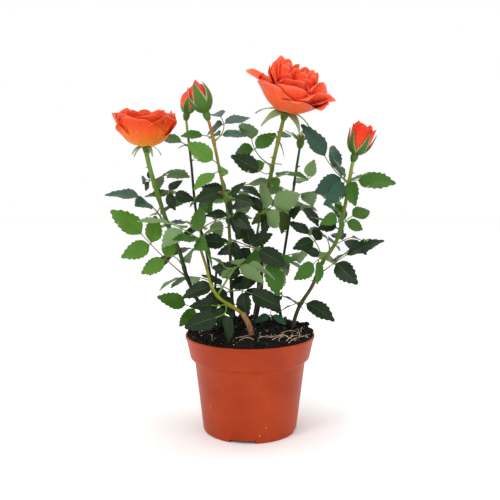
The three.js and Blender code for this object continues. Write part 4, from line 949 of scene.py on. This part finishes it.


# Blooms, buds and their green parts
# Orange garden roses: a green hip at the cane's end, five green sepals on it, and soft petals packed in a
# spiral. They grow as one with the cane, and each petal's foot is fused to the hip.

# Axis as azimuth and rise, and hip as radius and height in mm. A tier of petals or sepals is its count,
# first azimuth, foot radius, length and width in mm, its leans from the axis at foot, middle and tip, its
# cup as the radius across against the distance from the axis, and its point, roll and wave in mm. Most
# outer petals of the open bloom stand one by one, as tiers of one, round two tight hearts whose places are
# in mm. The colours run from foot to tip of a petal's back and face.
# Each bloom's rim colour is a painted highlight along its petals' edges
BLOOMS = {
    "bloom_left": {
        "cane": "cane_left", "axis": (-80, 82), "hip": (3.6, 6),
        "petals": [
            (5, 248, 3.6, 38, 46, 106, 30, 36, 1.35, 1.6, 2.8, 2.0),
            (5, 218, 3.0, 37, 41, 92, 25, 22, 1.3, 1.2, 2.4, 1.8),
            (5, 245, 2.2, 34, 32, 70, 20, 12, 1.15, 0.8, 1.8, 1.2),
            (4, 200, 2.0, 31, 24, 50, 10, 6, 1.05, 0.4, 1.0, 0.6),
            (3, 260, 1.6, 29, 16, 32, 4, -6, 1.0, 0.2, 0.3, 0.4),
        ],
        "sepals": [(5, 15, 2.4, 15, 5, 100, 128, 160, 2.0, 0, 0, 0.3)],
        "back": [(0.08, "#f5a01e"), (0.4, "#f07410"), (0.75, "#ec500c"), (1.0, "#de3812")],
        "face": [(0.1, "#f08a10"), (0.45, "#ee560a"), (1.0, "#ea3c08")],
        "rim": "#ff8a54",
    },
    "bloom_right": {
        "cane": "cane_bloom", "axis": (-55, 65), "hip": (4.2, 8),
        "petals": [
            (1, 186, 3.2, 43, 46, 70, 46, 80, 1.3, 4.0, 3.6, 1.2),
            (1, 232, 3.2, 41, 52, 92, 42, 28, 1.35, 1.6, 2.4, 1.6),
            (1, 306, 3.2, 41, 52, 94, 54, 78, 1.35, 3.4, 3.0, 1.8),
            (1, 4, 3.2, 41, 48, 88, 46, 60, 1.35, 3.6, 2.6, 1.8),
            (1, 58, 3.2, 41, 46, 88, 54, 66, 1.35, 2.6, 3.0, 1.8),
            (1, 122, 3.2, 39, 46, 84, 50, 64, 1.35, 2.6, 3.0, 1.8),
            (1, 272, 3.0, 41, 48, 80, 38, 24, 1.25, 1.8, 2.6, 1.8),
            (1, 212, 3.0, 40, 42, 74, 38, 30, 1.25, 1.8, 2.4, 1.4),
            (1, 330, 3.0, 40, 44, 76, 40, 46, 1.25, 2.6, 2.8, 1.8),
            (1, 26, 3.0, 40, 42, 74, 42, 58, 1.25, 2.6, 2.8, 1.8),
            (1, 90, 3.0, 40, 40, 68, 36, 50, 1.25, 2.6, 2.6, 1.6),
            (1, 132, 3.0, 43, 40, 58, 24, 26, 1.2, 4.4, 2.4, 1.0),
            (1, 172, 3.0, 41, 34, 58, 28, 30, 1.2, 2.4, 2.4, 1.0),
            (5, 196, 2.8, 40, 34, 56, 27, 36, 1.2, 2.0, 2.2, 1.4),
            (5, 240, 2.4, 39, 28, 46, 20, 30, 1.1, 2.0, 2.0, 1.4),
            (4, 30, 1.6, 27, 15, 34, 14, 2, 1.0, 0.4, 0.8, 0.5),
        ],
        "hearts": [(-7.5, 4, 4), (8.5, -3, 2.5)],
        "sepals": [(5, 15, 2.8, 28, 10.5, 96, 112, 148, 2.2, 0, 0, 0.6)],
        "back": [(0.1, "#f98e3e"), (0.32, "#f85e1e"), (0.75, "#fb602c"), (1.0, "#f05a3a")],
        "face": [(0.1, "#fb9e3c"), (0.4, "#fa6c2a"), (1.0, "#f84e1a")],
        "rim": "#ff9a80",
    },
    "bud_left": {
        "cane": "cane_bud_left", "axis": (20, 80), "hip": (3.4, 6),
        "petals": [
            (4, 240, 2.2, 21.5, 13, 50, 6, -30, 1.0, 1.6, 0.2, 0.3),
            (3, 285, 1.6, 23.5, 9, 40, 0, -28, 1.0, 1.6, 0.1, 0.2),
        ],
        "sepals": [(5, 262, 2.8, 17, 6.8, 58, 10, -18, 1.2, 0, 0, 0.2)],
        "back": [(0.1, "#f4a45c"), (0.4, "#f3642c"), (0.8, "#f2401c"), (1.0, "#e42e28")],
        "face": [(0.1, "#f4904a"), (1.0, "#ee3a18")],
        "rim": "#ff8a66",
    },
    "bud_centre": {
        "cane": "cane_bud_centre", "axis": (170, 70), "hip": (3.6, 7),
        "petals": [
            (4, 240, 2.2, 27, 13, 50, 4, -33, 1.0, 1.8, 0.2, 0.3),
            (3, 285, 1.8, 29, 9.5, 42, -2, -30, 1.0, 1.8, 0.1, 0.2),
        ],
        "sepals": [(5, 262, 3.0, 28.5, 15, 60, 5, -27, 1.0, 0, 0, 0.2)],
        "back": [(0.1, "#f4a45c"), (0.4, "#f3642c"), (0.8, "#f03a1e"), (1.0, "#dc2830")],
        "face": [(0.1, "#f4904a"), (1.0, "#ee3a18")],
        "rim": "#f6605c",
    },
    "bud_right": {
        "cane": "cane_right", "axis": (-20, 72), "hip": (3.8, 6.5),
        "petals": [
            (4, 262, 2.6, 27, 20, 58, 9, 8, 1.0, 2.2, 1.2, 0.8),
            (4, 222, 2.2, 29, 17, 48, 6, 0, 1.0, 2.0, 0.8, 0.6),
            (3, 250, 1.8, 28, 13, 36, 2, -8, 1.0, 0.8, 0.4, 0.3),
        ],
        "sepals": [(5, 226, 3.3, 25, 9.4, 66, 17, 10, 1.1, 0, 0, 0.2)],
        "back": [(0.1, "#f28a4a"), (0.35, "#ef5018"), (0.8, "#ea3408"), (1.0, "#d62616")],
        "face": [(0.1, "#f4904a"), (1.0, "#ea3008")],
        "rim": "#fb6c40",
    },
    "spent_bloom": {
        "cane": "cane_spent", "axis": (-60, 80), "hip": (4.0, 7),
        "petals": [(6, 0, 1.4, 6, 2.2, 30, 22, 60, 1.4, 0.4, 0.2, 0.3)],
        "sepals": [(5, 15, 2.8, 15.5, 5.4, 62, 56, 80, 2.0, 0, 0, 0.4)],
        "back": [(0.1, "#8a6a34"), (1.0, "#5a4024")],
        "face": [(0.1, "#9a7a40"), (1.0, "#6a4c2a")],
        "rim": "#8a6a40",
    },
}
HEART_TIERS = [
    (5, 30, 5.5, 36, 18, 14, 4, 4, 1.0, 0.6, 1.2, 0.8), (4, 75, 3.6, 36, 13, 8, 0, -8, 1.0, 0.3, 0.5, 0.4),
    (3, 20, 1.8, 35, 8, 4, -2, -10, 1.0, 0.1, 0.2, 0.3),
]
# Widths at even steps from foot to tip as shares of the full one, rows and columns of points, thickness in
# mm, how far they differ in azimuth and in the lean of the tip, in degrees, and how round the top is
PETAL = {"widths": (0.3, 0.74, 0.96, 1.0, 0.72), "rows": 15, "columns": 13, "thick": 0.45, "turn": 8,
         "lean": 7, "round": 0.2}
SEPAL = {"widths": (0.72, 1.0, 0.74, 0.4, 0.05), "rows": 12, "columns": 9, "thick": 0.5, "turn": 3,
         "lean": 3, "round": 0}
# Petals and sepals grow from this far below the top of the hip, in mm
SEATED = 1


def unfurled(tiers, kind, height, seed):
    """Grids of petals or sepals in the flower's own frame. A middle line leaves the axis by a lean that is
    a quadratic through its three values; the blade lies across it on an arc, lateral rho sin(w/rho) and
    inward rho (1 - cos(w/rho)), with rho the cup times the distance from the axis. The top is rounded off by
    the cube of the distance across and drawn out in its middle by the point; the rims roll out and wave."""
    table = []
    for count, first, *rest in tiers:
        table += [(first + 360 * i / count, *rest) for i in range(count)]
    table = np.array(table, float)
    salt = np.arange(len(table)) + seed
    azimuth, foot, length, width, low, middle, tip, cup, point, roll, wave = table.T[:, :, None, None]
    shift = [wobble(salt + k)[:, None, None] for k in (0.1, 17.2, 31.3, 44.4)]
    azimuth = np.radians(azimuth + kind["turn"] * shift[0])
    middle, tip = middle + 3 * shift[1], tip + kind["lean"] * shift[2]
    length = length * (1 + 0.04 * shift[3])
    u = np.linspace(0, 1, kind["rows"])[None, :, None]
    v = np.linspace(-1, 1, kind["columns"])[None, None, :]
    s = u * (1 - kind["round"] * np.abs(v) ** 3) + point / length * np.exp(-((v / 0.25) ** 2)) * u**8
    fine, step = np.linspace(0, 1.2, 121, retstep=True)
    lean = np.radians(low * (1 - fine) * (1 - 2 * fine) + middle * 4 * fine * (1 - fine)
                      + tip * fine * (2 * fine - 1))[:, 0]
    out = foot[:, 0] + length[:, 0] * np.cumsum(np.sin(lean), 1) * step
    rise = length[:, 0] * np.cumsum(np.cos(lean), 1) * step
    lean, out, rise = [
        np.array([np.interp(s[i], fine, line[i]) for i in range(len(table))]) for line in (lean, out, rise)
    ]
    share = np.polyval(np.polyfit(np.linspace(0, 1, 5), kind["widths"], 4), u)
    across = v * share * width / 2
    rho = np.maximum(cup * (out + 0.8), width * share / 5)
    inward = rho * (1 - np.cos(across / rho))
    inward -= roll * np.clip((np.abs(v) - 0.5) / 0.5, 0, 1) ** 2 * u**2
    inward += wave * u**2 * np.sin(4.2 * v + 6 * shift[2] + 2.5 * u)
    from_axis = out - np.cos(lean) * inward
    sideways = rho * np.sin(across / rho)
    return np.stack([
        from_axis * np.cos(azimuth) - sideways * np.sin(azimuth),
        from_axis * np.sin(azimuth) + sideways * np.cos(azimuth),
        height + rise + np.sin(lean) * inward,
    ], -1)


# Calyx and hip skin: thin matt-green tissue with a faint bloom; a sepal's rim and inside are paler
calyx = finish("green_calyx", Base_Color=linear("#44661a"), Roughness=0.55, Specular_IOR_Level=0.35)[0]
pale_calyx = finish("pale_sepal_down", Base_Color=linear("#86a066"), Roughness=0.6)[0]
for seed, (name, bloom) in enumerate(BLOOMS.items()):
    cane = CANES[bloom["cane"]]
    axis = Vector(direction(*bloom["axis"]))
    turn = np.array(Vector((0, 0, 1)).rotation_difference(axis).to_matrix())
    tip = cane_point(cane, [1.0])[0]
    girth, height = bloom["hip"]
    petal_grid = unfurled(bloom["petals"], PETAL, height - SEATED, 10 * seed)
    for k, heart_place in enumerate(bloom.get("hearts", [])):
        heart = unfurled(HEART_TIERS, PETAL, height - SEATED, 60 + 20 * k)
        petal_grid = np.concatenate([petal_grid, heart + heart_place])
    # Petals: soft velvety tissue that lets a little light through, yellower at its foot, redder toward its
    # tip, with a painted highlight along its rim, soft lengthwise streaks and faint raised veins; the spent
    # bloom's have dried brown
    looks = []
    for side in ("face", "back"):
        velvet, tree, shader = finish(f"{name}_petal_{side}", Roughness=0.55, IOR=1.4, Sheen_Weight=0.05,
                                      Specular_IOR_Level=0.35, Subsurface_Weight=0.12, Subsurface_Scale=0.002)
        surface = add(tree, "UVMap").outputs["UV"]
        spot = add(tree, "SeparateXYZ", inputs={"Vector": surface})
        tone = add(tree, "ValToRGB", {"stops": bloom[side]}, {"Fac": spot.outputs["Y"]})
        place = add(tree, "TexCoord").outputs["Object"]
        cloud = add(tree, "TexNoise", inputs={"Vector": place, "Scale": 120.0, "Detail": 3.0})
        shade = add(tree, "MapRange", inputs={"Value": cloud, "To Min": 0.82, "To Max": 1.08})
        along = add(tree, "VectorMath", {"operation": "MULTIPLY"}, {0: surface, 1: (34.0, 1.8, 1.0)})
        streak = add(tree, "TexNoise", inputs={"Vector": along, "Scale": 1.0, "Detail": 2.0})
        streaks = add(tree, "MapRange", inputs={"Value": streak, "From Min": 0.3, "From Max": 0.7,
                                                "To Min": 0.88, "To Max": 1.06})
        both = add(tree, "Math", {"operation": "MULTIPLY"}, {0: shade, 1: streaks})
        shaded = add(tree, "VectorMath", {"operation": "SCALE"}, {0: tone, "Scale": both})
        # Painted highlight: the rim colour, mixed in along the petal's sides and tip where light catches them
        off = add(tree, "Math", {"operation": "SUBTRACT"}, {0: spot, 1: 0.5})
        aside = add(tree, "Math", {"operation": "ABSOLUTE"}, {0: off})
        at_side = add(tree, "MapRange", inputs={"Value": aside, "From Min": 0.44, "From Max": 0.5})
        at_tip = add(tree, "MapRange", inputs={"Value": spot.outputs["Y"], "From Min": 0.93, "From Max": 1.0})
        rim_highlight_mask = add(tree, "Math", {"operation": "MAXIMUM"}, {0: at_side, 1: at_tip})
        faint = add(tree, "Math", {"operation": "MULTIPLY"}, {0: rim_highlight_mask, 1: 0.4})
        with_rim_highlight = add(tree, "Mix", {"data_type": "RGBA"}, {0: faint, 6: shaded, 7: linear(bloom["rim"])})
        veins = add(tree, "TexWave", {"bands_direction": "X", "wave_profile": "SIN"},
                    {"Vector": surface, "Scale": 3.1, "Distortion": 2.5})
        ridges = add(tree, "Bump", inputs={"Strength": 0.07, "Distance": 0.0004,
                                           "Height": veins.outputs["Fac"]})
        drive(shader, Base_Color=with_rim_highlight.outputs[2], Normal=ridges)
        looks.append(velvet)
    points, blocks, is_back, uv = skins(petal_grid, PETAL["thick"])
    petals = piece(name + "_petals", points @ turn.T + tip, blocks, looks, is_back.astype(int), uv, RIM_ANGLE)

    # The hip is a rounded urn: its foot starts 1.5 mm inside the cane and its belly is just under half way up
    hip_corners = [(0.05, -1.5, 0), (girth * 0.55, -1.5, 0.3), (girth, height * 0.45, 1.8),
                   (girth * 0.82, height, 0.4), (0.05, height, 0)]
    hip_grid, hip_faces = turned(rounded(hip_corners), np.radians(np.arange(0, 360, 18)))
    hip_points = hip_grid.reshape(-1, 3)
    sepal_grid = unfurled(bloom["sepals"], SEPAL, height - SEATED, 10 * seed + 5)
    points, blocks, is_back = skins(sepal_grid, SEPAL["thick"])[:3]
    points = np.vstack([hip_points, points]) @ turn.T + tip
    blocks = [*hip_faces, blocks[0] + len(hip_points)]
    bands = SEPAL["columns"] - 1
    pale = ~is_back | np.isin(np.arange(len(is_back)) % bands, (0, bands - 1))
    slots = np.concatenate([np.zeros(sum(map(len, hip_faces)), int), pale.astype(int)])
    green = piece(name + "_calyx", points, blocks, [calyx, pale_calyx], slots, crease=RIM_ANGLE)
    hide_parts(name)


# Studio
# A plain floor of white paper, a white surround and three soft lamps; the camera stands in front and a little
# above, where the photograph was taken.

# Half the floor's side, in metres
FLOOR = 3
floor_mesh = bpy.data.meshes.new("floor")
floor_corners = [(-FLOOR, -FLOOR, 0), (FLOOR, -FLOOR, 0), (FLOOR, FLOOR, 0), (-FLOOR, FLOOR, 0)]
floor_mesh.from_pydata(floor_corners, [], [(0, 1, 2, 3)])
# White paper: matt and even, so the bush's soft shadow shows on it
floor_mesh.materials.append(finish("white_paper", Base_Color=linear("#fcfcfb"), Roughness=0.9)[0])
floor = placed("floor", floor_mesh)

world = bpy.data.worlds.new("surround")
world.use_nodes = True
world.node_tree.nodes["Background"].inputs["Color"].default_value = linear("#ffffff")
world.node_tree.nodes["Background"].inputs["Strength"].default_value = 1.0
bpy.context.scene.world = world

# Lamps: place and aim in metres, width, power in watts
for name, place, aim, width, power in (
    ("key_lamp", (-0.9, -1.0, 1.3), (0, 0, 0.2), 0.5, 8),
    ("fill_lamp", (1.2, -0.9, 0.7), (0, 0, 0.18), 0.9, 2.6),
    ("top_lamp", (0.1, 0.2, 1.6), (0, 0, 0.2), 0.6, 5),
):
    light = bpy.data.lights.new(name, "AREA")
    light.size = width
    light.energy = power
    lamp = placed(name, light)
    lamp.location = place
    lamp.rotation_euler = (Vector(aim) - Vector(place)).to_track_quat("-Z", "Y").to_euler()

# The photograph's camera: sensor and lens in mm, place in metres, looking down by its pitch in degrees
PITCH = 6.5
lens = bpy.data.cameras.new("camera")
lens.sensor_width = 36
lens.lens = 50.44
camera = placed("camera", lens)
camera.location = (0, -0.640, 0.241)
camera.rotation_euler = (np.radians(90 - PITCH), 0, 0)
bpy.context.scene.camera = camera
bpy.context.scene.view_settings.view_transform = "Standard"
